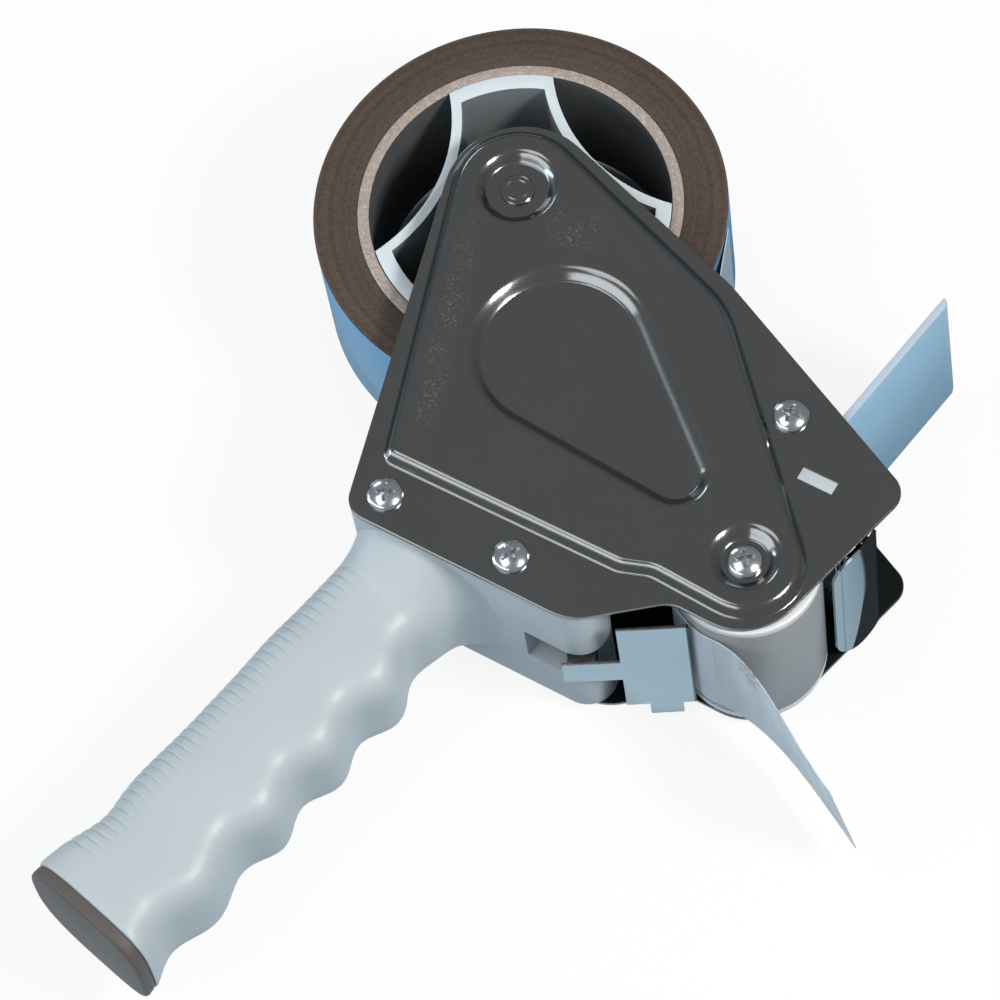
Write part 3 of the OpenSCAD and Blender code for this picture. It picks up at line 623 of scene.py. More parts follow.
def rounded(corners, steps=14):
    """Closed outline of corners (x, y, radius), counter-clockwise."""
    points = np.array([c[:2] for c in corners], float)
    return np.concatenate([
        corner_arc(points[i - 1], points[i], points[(i + 1) % len(points)], corners[i][2], steps)
        for i in range(len(points))
    ])


def shrunk(corners, d):
    """The same corners moved inwards by d."""
    points = np.array([c[:2] for c in corners], float)
    made = []
    for i, corner in enumerate(corners):
        u = unit(points[i] - points[i - 1])
        v = unit(points[(i + 1) % len(points)] - points[i])
        m = unit(leftward(u) + leftward(v))
        place = points[i] + m * d / (m @ leftward(u))
        outer = u[0] * v[1] - u[1] * v[0] > 0
        made.append((*place, max(0.3, corner[2] - d if outer else corner[2] + d)))
    return made


def bend(p, t):
    """Point at the share t of a curve with four control points."""
    u = 1 - t
    return u**3 * p[0] + 3 * t * u**2 * p[1] + 3 * t * t * u * p[2] + t**3 * p[3]


def drop_outline(grow):
    """Drop-shaped recess round its large and small end, grown by a margin."""
    big, big_r = np.array([32.3, -34.4]), 20.5 + grow
    small, small_r = ROLLER + [-25.6, 11.5], 6.5 + grow
    way = small - big
    turn, open_half = math.atan2(way[1], way[0]), math.acos((big_r - small_r) / np.linalg.norm(way))
    far = np.linspace(turn + open_half, turn + 2 * math.pi - open_half, 72)
    near = np.linspace(turn - open_half, turn + open_half, 32)
    return np.concatenate([arc(big, big_r, far), arc(small, small_r, near)])


def bitten(points, r):
    """Outline without what lies within r of the hub axis; it crosses that circle twice."""
    near = np.linalg.norm(points, axis=1) < r
    first = next(i for i in range(len(points)) if near[i - 1] and not near[i])
    kept = np.roll(points, -first, axis=0)
    count = int(np.sum(~near))

    def crossing(a, b):
        way = b - a
        p, q = a @ way / (way @ way), (a @ a - r * r) / (way @ way)
        roots = [-p - math.sqrt(p * p - q), -p + math.sqrt(p * p - q)]
        return a + way * next(t for t in roots if -1e-9 <= t <= 1 + 1e-9)

    enter = crossing(kept[count - 1], kept[count])
    leave = crossing(kept[-1], kept[0])
    start, end = math.atan2(enter[1], enter[0]), math.atan2(leave[1], leave[0])
    sweep = (end - start + math.pi) % (2 * math.pi) - math.pi
    return np.concatenate([kept[:count], arc((0, 0), r, start + sweep * np.linspace(0, 1, 60))])


def plate_corners(y):
    """Corners of a side plate whose lower edge lies at y, each with its radius."""
    return [
        (*line_corner(*PLATE_REAR, *PLATE_FORE), 19.3),
        (*on_line_y(*PLATE_REAR, y), 6.5),
        (NOSE_X + 3.1 + (y - BASE_Y) * 1.25, y, 14),
        (ROLLER[0] - 10.5, ROLLER[1] - 17.9, 8),
        (*CHIN, 16),
        (*FRONT, 6),
        (*on_line_x(*PLATE_FORE, 60), 30),
    ]


def panel_corners():
    """Corners of the raised panel, each with its radius."""
    base = BASE_Y + 16.4
    return [
        (*line_corner(*PANEL_REAR, *PANEL_FORE), 16.2),
        (*on_line_y(*PANEL_REAR, base), 3.2),
        (NOSE_X + 7.4, base + 0.9, 8),
        (ROLLER[0] - 18, ROLLER[1] - 13.5, 8),
        (ROLLER[0] + 35.2, ROLLER[1] - 15.8, 13.8),
        (*on_line_x(*PANEL_FORE, 62), 30),
    ]


# Meshes


def inside(points, loop):
    """Which points lie inside a closed outline."""
    x, y = points[:, 0, None], points[:, 1, None]
    a, b = loop, np.roll(loop, -1, axis=0)
    over = (a[:, 1] > y) != (b[:, 1] > y)
    rise = np.where(b[:, 1] == a[:, 1], 1e-12, b[:, 1] - a[:, 1])
    cross = x < a[:, 0] + (y - a[:, 1]) * (b[:, 0] - a[:, 0]) / rise
    return np.sum(over & cross, axis=1) % 2 == 1


def at_level(points, z):
    """Flat points as a ring at the height z."""
    return np.column_stack([points, np.full(len(points), z)])


def placed(points):
    """Points in millimetres from the hub axis as places in the scene."""
    return ((np.asarray(points, float) + [*HUB, 0]) / 1000).tolist()


def new_mesh(name, points, faces=(), edges=()):
    """Mesh of points in metres."""
    mesh = bpy.data.meshes.new(name)
    mesh.from_pydata(points, edges, faces)
    return mesh


def linked(name, data):
    """New object in the scene."""
    piece = bpy.data.objects.new(name, data)
    bpy.context.scene.collection.objects.link(piece)
    return piece


def smooth_edges(mesh, degrees=38):
    """Smooth faces that break at edges sharper than an angle."""
    mesh.shade_smooth()
    mesh.set_sharp_from_angle(angle=math.radians(degrees))


def new_piece(name, points, faces, look):
    """Object of points in millimetres from the hub axis, smooth up to its sharp edges."""
    mesh = new_mesh(name, placed(points), faces)
    tidy = bmesh.new()
    tidy.from_mesh(mesh)
    bmesh.ops.recalc_face_normals(tidy, faces=tidy.faces)
    tidy.to_mesh(mesh)
    tidy.free()
    smooth_edges(mesh)
    mesh.materials.append(look)
    return linked(name, mesh)


def mark(piece, **layers):
    """Stores a number at each point of the piece under each name."""
    for name, values in layers.items():
        layer = piece.data.attributes.new(name, "FLOAT", "POINT")
        layer.data.foreach_set("value", np.asarray(values, np.float32))


def settle(piece, body, slot, *nodes):
    """Puts a finished piece on its body in place of its CAD nodes."""
    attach(piece, body)
    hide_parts(*nodes)


def baked(piece):
    """Turns the piece's modifiers into its mesh."""
    graph = bpy.context.evaluated_depsgraph_get()
    mesh = bpy.data.meshes.new_from_object(piece.evaluated_get(graph))
    piece.modifiers.clear()
    piece.data = mesh
    return piece


def cleaned(mesh):
    """Merges double points and dissolves the seams of flat faces."""
    tidy = bmesh.new()
    tidy.from_mesh(mesh)
    bmesh.ops.remove_doubles(tidy, verts=tidy.verts, dist=2e-6)
    bmesh.ops.dissolve_limit(tidy, angle_limit=math.radians(0.4), verts=tidy.verts, edges=tidy.edges)
    tidy.to_mesh(mesh)
    tidy.free()


def bevelled(piece, width, segments, sharp):
    """Rounds the edges that are sharper than an angle by a width in millimetres."""
    bevel = piece.modifiers.new("round_off", "BEVEL")
    bevel.width = width / 1000
    bevel.segments = segments
    bevel.limit_method = "ANGLE"
    bevel.angle_limit = math.radians(sharp)
    baked(piece)


def dressed(node, name, look, round_off, segments=2, sharp=38):
    """Copy of a CAD node with merged points, rounded edges and smooth faces."""
    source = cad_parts[node].data
    mesh = new_mesh(name, [v.co[:] for v in source.vertices], [p.vertices[:] for p in source.polygons])
    cleaned(mesh)
    mesh.materials.append(look)
    piece = linked(name, mesh)
    if round_off:
        bevelled(piece, round_off, segments, sharp)
    smooth_edges(piece.data, 32)
    return piece


def dress(node, name, look, round_off, body, slot, *bevel):
    """Puts a finished copy of a CAD node on its body in the node's place."""
    settle(dressed(node, name, look, round_off, *bevel), body, slot, node)


def stamped(outlines, holes, flip):
    """Points and faces of a stamped sheet from its outlines (points, top, low).
    The first outline is the cut edge, and holes are the places of those that are cut out."""
    points = np.concatenate([o[0] for o in outlines])
    top = np.concatenate([np.full(len(o[0]), o[1]) for o in outlines])
    low = np.concatenate([np.full(len(o[0]), o[2]) for o in outlines])
    edges, loops, start = [], [], 0
    for outline in outlines:
        ids = np.arange(start, start + len(outline[0]))
        loops.append(ids)
        edges += list(zip(ids.tolist(), np.roll(ids, -1).tolist()))
        start += len(ids)
    flat, _, faces, origin, _, _ = delaunay_2d_cdt([Vector(p) for p in points], edges, [], 0, 1e-5)
    flat = np.array([p[:] for p in flat])
    place = {i: k for k, ids in enumerate(origin) for i in ids}
    first = [ids[0] for ids in origin]
    middle = np.array([flat[list(f)].mean(axis=0) for f in faces])
    keep = inside(middle, outlines[0][0])
    for h in holes:
        keep &= ~inside(middle, outlines[h][0])
    faces = [list(f) for f, k in zip(faces, keep) if k]
    count = len(flat)
    body = np.concatenate([np.column_stack([flat, top[first]]), np.column_stack([flat, low[first]])])
    solid = faces + [[i + count for i in reversed(f)] for f in faces]
    for index in [0, *holes]:
        ring = [place[i] for i in loops[index]]
        if index:
            ring = ring[::-1]
        for a, b in zip(ring, ring[1:] + ring[:1]):
            solid.append([a + count, b + count, b, a])
    body[:, 2] = FAR_IN - body[:, 2] if flip else NEAR_IN + body[:, 2]
    return body, solid


def plate_outlines(props, y, cut_r):
    """Outlines of a side plate with its panel, recesses and holes; cut_r is the roll's cut-out or 0."""
    sheet, panel, step, soft, edge = props.sheet, props.panel, props.step, props.soft, props.edge
    roller_recess, hub_recess, screw_hole, axle_hole = 6.6, 8.4, 2.0, 4.1
    bar_slot = np.array([4.8, 1.75])

    def rim(d):
        points = rounded(shrunk(plate_corners(y), d))
        return bitten(points, cut_r + d) if cut_r else points

    def raised(d):
        points = rounded(shrunk(panel_corners(), 0.75 * d))
        return bitten(points, cut_r + 5 + d) if cut_r else points

    made, holes = [], []
    for d, drop in ((0, edge), (0.3 * edge, 0.3 * edge), (edge, 0), (2.4 * edge, 0)):
        made.append((rim(d), sheet - drop, drop))
    slope = np.linspace(0, 1, 15)
    steps = [(-soft - 0.12, 0.0)]
    steps += [(-soft + (step + 2 * soft) * u, panel * smooth_step(u**0.75, 0, 1)) for u in slope]
    steps += [(step + soft + 0.12, panel)]
    forms = [raised, lambda d: circle(ROLLER, roller_recess + 0.95 * d)]
    if not cut_r:
        forms += [lambda d: circle((0, 0), hub_recess + 0.8 * d), drop_outline]
    for form in forms:
        made += [(form(d), sheet + z, z) for d, z in steps]
    drops = ((0, 0.5 * edge), (0.5 * edge, 0), (edge, 0))
    rounds = [(at, screw_hole) for at in SCREWS] + ([] if cut_r else [((0, 0), axle_hole)])
    for at, r in rounds:
        holes.append(len(made))
        made += [(circle(at, r + d, 32), sheet - drop, drop) for d, drop in drops]
    holes.append(len(made))
    for d, drop in drops:
        corners = [(*(BAR + (bar_slot + d) * s), 0.4 + d) for s in SQUARE]
        made.append((rounded(corners, 5), sheet - drop, drop))
    return made, holes


def lofted(rings):
    """Closed skin through rings of equal length."""
    count = len(rings[0])
    points = np.concatenate([*rings, [np.mean(rings[0], axis=0)], [np.mean(rings[-1], axis=0)]])
    last, faces = len(rings) - 1, []
    for k in range(last):
        for i in range(count):
            j = (i + 1) % count
            faces.append([k * count + i, (k + 1) * count + i, (k + 1) * count + j, k * count + j])
    for i in range(count):
        j = (i + 1) % count
        faces.append([len(points) - 2, i, j])
        faces.append([len(points) - 1, last * count + j, last * count + i])
    return points, faces


def sheet_faces(rows, lanes):
    """Faces of a closed sheet whose two sides are grids of the given rows and lanes."""
    count, span = (rows + 1) * (lanes + 1), lanes + 1
    faces = []
    for k in range(rows):
        for i in range(lanes):
            quad = [k * span + i, k * span + i + 1, (k + 1) * span + i + 1, (k + 1) * span + i]
            faces += [quad, [q + count for q in reversed(quad)]]
    border = [*range(span)] + [k * span + lanes for k in range(1, rows + 1)]
    border += [rows * span + i for i in reversed(range(lanes))]
    border += [k * span for k in reversed(range(1, rows))]
    for a, b in zip(border, border[1:] + border[:1]):
        faces.append([a, b, b + count, a + count])
    return faces


def turned(profile, centre, steps=64):
    """Points and faces of a profile of (radius, height) turned about an axis along Z."""
    return lofted([at_level(circle(centre, r, steps), z) for r, z in profile])


def smooth_step(s, a, b):
    """0 before a, 1 after b and smooth between them."""
    t = np.clip((s - a) / (b - a), 0, 1)
    return t * t * (3 - 2 * t)


def bell(s, middle, width):
    """Bell curve of the height 1."""
    return math.exp(-(((s - middle) / width) ** 2))


def neck_fillet(s, radius=11.0, start=16.8):
    """How far a round fillet under the head widens the grip at the distance s below the plate."""
    slant = math.sin(GRIP_LEAN)
    gap = HEAD_LOW - BASE_Y + math.cos(GRIP_LEAN) * s + slant * start
    k = np.clip(radius - gap, 0, radius * (1 + slant))
    b = radius + slant * k
    square = 1 + slant**2
    return (b - math.sqrt(max(0, b * b - square * k * k))) / square


def grip_edges(s):
    """Rear edge, finger edge and half thickness of the grip at the distance s below the plate."""
    heel = 1.6 * bell(s, GRIP_LEN - 19, 7) - 1.6 * smooth_step(s, GRIP_LEN - 16, GRIP_LEN + 2)
    shoulder = 3 * math.exp(-max(0, s) / 4.2)
    rear = -12.9 + 1.4 * smooth_step(s, 30, 65) + heel - shoulder
    lead = 0.0586 * s * (1 - smooth_step(s, 70, 110))
    wave = math.cos(2 * math.pi * (s + lead - FINGER_FIRST) / FINGER_PITCH)
    swell = FINGER_SWELL * smooth_step(s, 14, 24) * wave
    neck = (1.3 + 1.8 * smooth_step(s, 4, 14)) * (1 - smooth_step(s, 14, 22))
    fore = 18.1 + 0.4 * smooth_step(s, 84, 105) + 0.045 * s + swell - neck + neck_fillet(s)
    half = 16.5 + 9.4 * (1 - smooth_step(s, -6, 12)) + smooth_step(s, GRIP_LEN - 25, GRIP_LEN)
    return rear, fore, half


def grip_ring(s, d=0.0, steps=104):
    """Section of the grip, shrunk by d, and each point's distance from the rear edge."""
    rear, fore, half = grip_edges(s)
    wide, deep = (fore - rear) / 2 - d, half - d
    middle = GRIP_TOP + GRIP_DOWN * s + GRIP_OUT * (fore + rear) / 2
    turns = full_turn(steps)
    power = np.where(np.cos(turns) < 0, 0.68, 0.55 + 0.35 * (1 - smooth_step(s, -2, 14)))
    across = np.sign(np.cos(turns)) * np.abs(np.cos(turns)) ** power
    rise = np.sign(np.sin(turns)) * np.abs(np.sin(turns)) ** power
    place = middle + np.outer(across * wide, GRIP_OUT)
    return np.column_stack([place, MID_Z + deep * rise]), (across + 1) * wide


# Geometry node trees


class Growth(Graph):
    """Geometry node tree with named inputs that ends in realized geometry with a material."""

    def __init__(self, name, inputs):
        super().__init__(bpy.data.node_groups.new(name, "GeometryNodeTree"))
        sockets = self.tree.interface
        sockets.new_socket("Geometry", in_out="OUTPUT", socket_type="NodeSocketGeometry")
        self.keys = {}
        for label, kind in {"Geometry": "Geometry", **inputs, "Material": "Material"}.items():
            made = sockets.new_socket(label, in_out="INPUT", socket_type="NodeSocket" + kind)
            self.keys[label] = made.identifier
        self.inputs = self.node("NodeGroupInput")

    def end(self, geometry):
        """The finished tree."""
        real = self.node("GeometryNodeRealizeInstances", {}, {0: geometry})
        done = self.node("GeometryNodeSetMaterial", {}, {0: real, "Material": self.inputs.out("Material")})
        self.node("NodeGroupOutput", {}, {0: done})
        return self

    def grow(self, piece, **values):
        """Runs the tree on the piece and keeps the result as a plain mesh."""
        modifier = piece.modifiers.new("growth", "NODES")
        modifier.node_group = self.tree
        for label, value in values.items():
            modifier[self.keys[label]] = value
        baked(piece)
        smooth_edges(piece.data)
        return piece


def screw_growth():
    """Screws on points, each turned as its point says."""
    tree = Growth("screw_row", {"Screw": "Object"})
    screw = tree.node("GeometryNodeObjectInfo", {}, {0: tree.inputs.out("Screw")}, "Geometry")
    turn = tree.node("GeometryNodeInputNamedAttribute", {"data_type": "FLOAT_VECTOR"}, {"Name": "turn"})
    turn = tree.node("FunctionNodeEulerToRotation", {}, {0: turn})
    row = tree.node(
        "GeometryNodeInstanceOnPoints", {}, {"Points": tree.inputs, "Instance": screw, "Rotation": turn}
    )
    return tree.end(row)


def groove_growth():
    """Grooves pressed into the back of the grip at an even spacing."""
    labels = ("First", "Pitch", "Last", "Depth", "Reach")
    tree = Growth("grip_grooves", {label: "Float" for label in labels})
    first, pitch, last, depth, reach = (tree.inputs.out(label) for label in labels)
    along, rear = (
        tree.node("GeometryNodeInputNamedAttribute", {"data_type": "FLOAT"}, {"Name": name})
        for name in ("along", "rear")
    )
    turn = tree.math("FRACT", (along - first) / pitch + 0.5) - 0.5
    cut = tree.smooth(abs(turn * pitch), 0.5, 0.0)
    run = tree.math("GREATER_THAN", along, first - 0.7) * tree.math("LESS_THAN", along, last + 0.7)
    side = tree.smooth(rear / reach, 1.0, 0.5) * tree.smooth(rear, 0.3, 1.4)
    inwards = cut * run * side * depth * -0.001
    normal = tree.node("GeometryNodeInputNormal")
    push = tree.node("ShaderNodeVectorMath", {"operation": "SCALE"}, {0: normal, "Scale": inwards})
    moved = tree.node("GeometryNodeSetPosition", {}, {0: tree.inputs, "Offset": push})
    return tree.end(moved)


def wire_growth():
    """Round wire along a line of points."""
    tree = Growth("spring_wire", {"Radius": "Float"})
    line = tree.node("GeometryNodeMeshToCurve", {}, {0: tree.inputs})
    radius = tree.inputs.out("Radius")
    ring = tree.node("GeometryNodeCurvePrimitiveCircle", {}, {"Resolution": 14, "Radius": radius})
    sockets = {"Curve": line, "Profile Curve": ring, "Fill Caps": True}
    return tree.end(tree.node("GeometryNodeCurveToMesh", {}, sockets))


def point_piece(name, points, edges=()):
    """Object of loose points in millimetres from the hub axis."""
    return linked(name, new_mesh(name, placed(points), edges=edges))


def spring_piece(name, path, wire, look):
    """Round wire of the given thickness along a path."""
    coil = point_piece(name, path, [(i, i + 1) for i in range(len(path) - 1)])
    return wire_growth().grow(coil, Radius=wire / 2000, Material=look)


def screw_shape(props):
    """Pan head with a cross slot, in metres, with its seat at the origin."""
    inner = np.linspace(0.22, props.cross + 0.5, 15)
    outer = np.linspace(props.cross + 0.8, props.head_r, 9)
    crown = props.head_h - 0.8
    dome = (props.head_r**2 + crown**2) / (2 * crown)
    steps = 96
    turns = full_turn(steps)
    rings = []
    for r in (*inner, *outer):
        height = props.head_h - dome + math.sqrt(dome**2 - r * r)
        x, y = np.abs(r * np.cos(turns)), np.abs(r * np.sin(turns))
        aside, ahead = np.minimum(x, y), np.maximum(x, y)
        wide = props.cross_w * (1 - 0.25 * ahead / props.cross)
        arm = smooth_step(aside, wide + 0.16, wide - 0.16)
        arm *= smooth_step(ahead, props.cross + 0.3, props.cross - 0.5)
        ease = 0.16 * smooth_step(r, props.head_r - 0.5, props.head_r)
        rings.append(np.column_stack([arc((0, 0), r, turns), height - arm * props.cross_d - ease]))
    for r, z in ((props.head_r, 0.35), (props.head_r - 0.1, 0.0), (1.9, 0.0), (1.9, -3.0)):
        rings.append(at_level(circle((0, 0), r, steps), z))
    points, faces = lofted(rings)
    return linked("screw_shape", new_mesh("screw_shape", (points / 1000).tolist(), faces))


# Operators


class DISPENSER_OT_plates(Operator):
    """Stamped side plates and the painted hub rivet"""

    bl_idname = "dispenser.plates"
    bl_label = "Side plates"

    def execute(self, context):
        props = context.scene.dispenser_plates
        paint = paint_finish(props)
        low, high = mm_box("tape_roll")
        roll_gap = 4.3
        cut_r = (high[0] - low[0]) / 2 + roll_gap
        for name, y, bite in (("main_side_plate", BASE_Y, 0), ("guide_side_plate", BASE_Y + 3, cut_r)):
            points, faces = stamped(*plate_outlines(props, y, bite), bool(bite))
            settle(new_piece(name + "_sheet", points, faces, paint), "frame", "painted_steel", name)
        self.axle(NEAR_IN + props.sheet, paint)
        return {"FINISHED"}

    def axle(self, seat, look):
        """Hub axle that ends in a ringed rivet on the plate's outer face, at the height seat."""
        foot = mm_box("hub_axle")[0][2]
        collar_r, collar_low, stud_r, thread_r, thread_top = 8.0, 41.6, 5.0, 4.0, 18.2
        rivet = [(0.4, 0.5), (2.2, 0.5), (2.5, 0.56), (2.75, 0.66), (3.0, 0.56), (3.25, 0.52),
                 (3.6, 0.56), (3.95, 0.68), (4.25, 0.5), (4.35, 0.05), (4.0, -0.1)]
        profile = [(r, seat + rise) for r, rise in rivet]
        profile += [(4.0, NEAR_IN - 0.1), (collar_r, NEAR_IN), (collar_r, collar_low), (stud_r, collar_low),
                    (stud_r, thread_top), (thread_r, thread_top), (thread_r, foot + 0.5), (3.6, foot)]
        axle = new_piece("hub_axle_turned", *turned(profile, (0, 0)), look)
        settle(axle, "frame", "dark_steel", "hub_axle")


class DISPENSER_OT_screws(Operator):
    """Cross-slot pan-head screws on both plates"""

    bl_idname = "dispenser.screws"
    bl_label = "Screws"

    def execute(self, context):
        props = context.scene.dispenser_screws
        look = plating_finish("screw_plating", props.plating, 0.13)
        shape = screw_shape(props)
        tree = screw_growth()
        sheet = context.scene.dispenser_plates.sheet
        for node, level, flip in (
            ("main_plate_screws", NEAR_IN + sheet, 0.0),
            ("guide_plate_screws", FAR_IN - sheet, math.pi),
        ):
            row = point_piece(node + "_row", [(*at, level) for at in SCREWS])
            turn = row.data.attributes.new("turn", "FLOAT_VECTOR", "POINT")
            turns = [(flip, 0.0, math.radians(a)) for a in (28, 61, 7, 40)]
            turn.data.foreach_set("vector", np.array(turns, np.float32).ravel())
            tree.grow(row, Screw=shape, Material=look)
            settle(row, "frame", "plated_steel", node)
        bpy.data.objects.remove(shape)
        return {"FINISHED"}


class DISPENSER_OT_handle(Operator):
    """Moulded handle with a grooved grip, its forked head and the end cap"""

    bl_idname = "dispenser.handle"
    bl_label = "Handle"

    def execute(self, context):
        props = context.scene.dispenser_handle
        plastic = moulded_finish("handle_plastic", props.plastic, 0.025, 0.34)
        self.grip(props, plastic)
        self.head(plastic)
        self.cap(moulded_finish("cap_plastic", props.cap, 0.03, 0.5))
        return {"FINISHED"}

    def grip(self, props, look):
        """Grip with finger waves in front and grooves in its back."""
        last = props.first + props.pitch * (props.count - 1)
        grooves = props.first + props.pitch * np.arange(props.count)
        near = np.concatenate([grooves + d for d in (-0.9, -0.5, -0.33, -0.16, 0.0, 0.16, 0.33, 0.5)])
        top, end = -8, GRIP_LEN - 0.9
        even = [np.linspace(top, end, 60), np.linspace(-7.4, -4.8, 23), np.linspace(-4.6, 6, 21)]
        places = np.unique(np.round(np.concatenate([*even, near]), 2))
        sections = [(s, 0.0) for s in places if s <= end]
        sections += [(GRIP_LEN - 0.5, 0.06), (GRIP_LEN - 0.2, 0.22), (GRIP_LEN, 0.6)]
        made = [grip_ring(s, d) for s, d in sections]
        points, faces = lofted([ring for ring, _ in made])
        grip = new_piece("handle_grip", points, faces, look)
        along = [np.full(len(ring), s) for (ring, _), (s, _) in zip(made, sections)]
        along = np.concatenate([*along, [top, GRIP_LEN]])
        out_of_reach = [99.0, 99.0]
        rear = np.concatenate([*(edge for _, edge in made), out_of_reach])
        mark(grip, along=along, rear=rear)
        groove_growth().grow(
            grip, First=props.first, Pitch=props.pitch, Last=last, Depth=props.depth, Reach=props.reach,
            Material=look,
        )
        settle(grip, "frame", "grey_plastic", "handle")

    def cap(self, look):
        """End cap behind its parting line, from sections (distance past the grip's end, shrinkage)."""
        stack = [(-4.5, 4.4), (-0.1, 4.4), (-0.05, 1.0), (0.2, 0.6), (0.7, 0.5),
                 (2.5, 0.5), (3.1, 0.7), (3.4, 1.1), (3.5, 1.8)]
        rings = [grip_ring(GRIP_LEN + s, d)[0] for s, d in stack]
        cap = new_piece("handle_end_cap_moulded", *lofted(rings), look)
        settle(cap, "frame", "cap_plastic", "handle_end_cap")

    def head(self, look):
        """Head block between the plates with the fork for the retainer's arm."""
        tall = HEAD_TOP - HEAD_LOW
        corners = [
            (*on_line_y(*HEAD_REAR, HEAD_LOW), 2),
            (NOSE_X + tall / 2, HEAD_LOW, tall / 2 - 0.1),
            (NOSE_X + tall / 2, HEAD_TOP, tall / 2 - 0.1),
            (*on_line_y(*HEAD_REAR, HEAD_TOP), 2),
        ]
        outline = rounded(corners, 16)
        head = new_piece("handle_head", *lofted([at_level(outline, z) for z in (FAR_IN, NEAR_IN)]), look)
        left, right, low, high = NOSE_X - 11.4, NOSE_X + 20, HEAD_LOW - 5, HEAD_TOP - 2
        opening = [(left, low), (right, low), (right, high), (left, high)]
        box = [at_level(opening, z) for z in (FORK_Z - 7, FORK_Z + 7)]
        slot = new_piece("fork_slot", *lofted(box), look)
        cut = head.modifiers.new("fork", "BOOLEAN")
        cut.object = slot
        cut.solver = "EXACT"
        baked(head)
        bpy.data.objects.remove(slot)
        cleaned(head.data)
        bevelled(head, 0.8, 3, 40)
        smooth_edges(head.data, 32)
        settle(head, "frame", "grey_plastic", "handle")


class DISPENSER_OT_hub(Operator):
    """Three-lobed tape hub with its brake"""

    bl_idname = "dispenser.hub"
    bl_label = "Hub and brake"

    def execute(self, context):
        metal = context.scene.dispenser_metal
        plastic = hub_finish(context.scene.dispenser_handle.plastic)
        steel = plating_finish("bare_steel", metal.steel, 0.3)
        nut = moulded_finish("nut_plastic", context.scene.dispenser_plastic.nut, 0.02, 0.5)
        dress("tape_hub", "tape_hub_moulded", plastic, 0.4, "reel", "grey_plastic")
        dress("brake_washers", "brake_washers_pressed", steel, 0.15, "frame", "plated_steel")
        dress("tension_nut", "tension_nut_moulded", nut, 0.35, "nut", "dark_plastic")
        settle(self.spring(steel), "frame", "spring_steel", "brake_spring")
        return {"FINISHED"}

    def spring(self, look):
        """Coil of the brake."""
        low, high = mm_box("brake_spring")
        wire, turns, r = 1.2, 3.5, 6.6
        at = np.linspace(0, turns * 2 * math.pi, 140)
        rise = np.linspace(low[2] + wire / 2 + 0.02, high[2] - wire / 2 - 0.02, len(at))
        return spring_piece("brake_spring_wire", np.column_stack([arc((0, 0), r, at), rise]), wire, look)


class DISPENSER_OT_tape(Operator):
    """Wound tape on its core, the web to the roller and the free tail"""

    bl_idname = "dispenser.tape"
    bl_label = "Tape"

    def execute(self, context):
        props = context.scene.dispenser_tape
        dress("tape_core", "tape_core_board", board_finish(props), 0.3, "reel", "core_board")
        dress("tape_roll", "tape_roll_wound", roll_finish(props), 0.25, "reel", "brown_tape")
        film = film_finish(props)
        dress("tape_web", "tape_web_film", film, 0, "frame", "single_tape")
        settle(self.tail(film), "frame", "single_tape", "tape_tail")
        return {"FINISHED"}

    def tail(self, look):
        """Free end that leaves the roller, turns over and ends in a slanting tear."""
        start = ROLLER + heading(TAIL_HEADING) * TAIL_R
        way = leftward(heading(TAIL_HEADING))
        near = [start, start + way * 13, start + [27.5, -13.5], start + [43, -21]]
        far = [start, start + way * 14, start + [26, -6], start + [47.6, -17.7]]
        rows, lanes, straight_rows = 72, 20, 30
        shares = np.linspace(0, 1, lanes + 1)
        face = np.zeros((rows + 1, lanes + 1, 3))
        for k in range(rows + 1):
            t = k / rows
            edge = bend(far, t)
            width = bend(near, t) - edge
            lift = leftward(unit(width) if k > straight_rows else way)
            for i, share in enumerate(shares):
                crease = 0.35 * bell(t, 0.3 + 0.12 * share, 0.035) * math.sin(math.pi * share)
                crease -= 0.3 * bell(t, 0.86 - 0.1 * share, 0.04) * share
                place = edge + width * share + lift * crease * smooth_step(t, 0.12, 0.3)
                face[k, i] = [*place, TAPE_LOW + (TAPE_HIGH - TAPE_LOW) * share]
        normal = np.cross(np.gradient(face, axis=0), np.gradient(face, axis=1))
        normal /= np.linalg.norm(normal, axis=2, keepdims=True)
        sides = [face + normal * d for d in (TAIL_HALF, -TAIL_HALF)]
        points = np.concatenate([s.reshape(-1, 3) for s in sides])
        piece = new_piece("tape_tail_film", points, sheet_faces(rows, lanes), look)
        along, across = np.meshgrid(np.linspace(0, 1, rows + 1), shares, indexing="ij")
        mark(piece, along=np.tile(along.ravel(), 2), across=np.tile(across.ravel(), 2))
        return piece


class DISPENSER_OT_roller(Operator):
    """Pressure roller with its end caps and axle"""

    bl_idname = "dispenser.roller"
    bl_label = "Roller"

    def execute(self, context):
        props = context.scene.dispenser_plastic
        steel = plating_finish("axle_steel", context.scene.dispenser_metal.steel, 0.3)
        white = moulded_finish("cap_white", props.white, 0.01, 0.34)
        dress("roller_sleeve", "roller_sleeve_turned", roller_finish(props), 0.2, "roller", "grey_plastic")
        dress("roller_end_caps", "roller_end_caps_moulded", white, 0.3, "roller", "white_plastic")
        dress("roller_axle", "roller_axle_bar", steel, 0.3, "frame", "plated_steel")
        dress("front_post", "front_post_bar", steel, 0.3, "frame", "plated_steel")
        return {"FINISHED"}


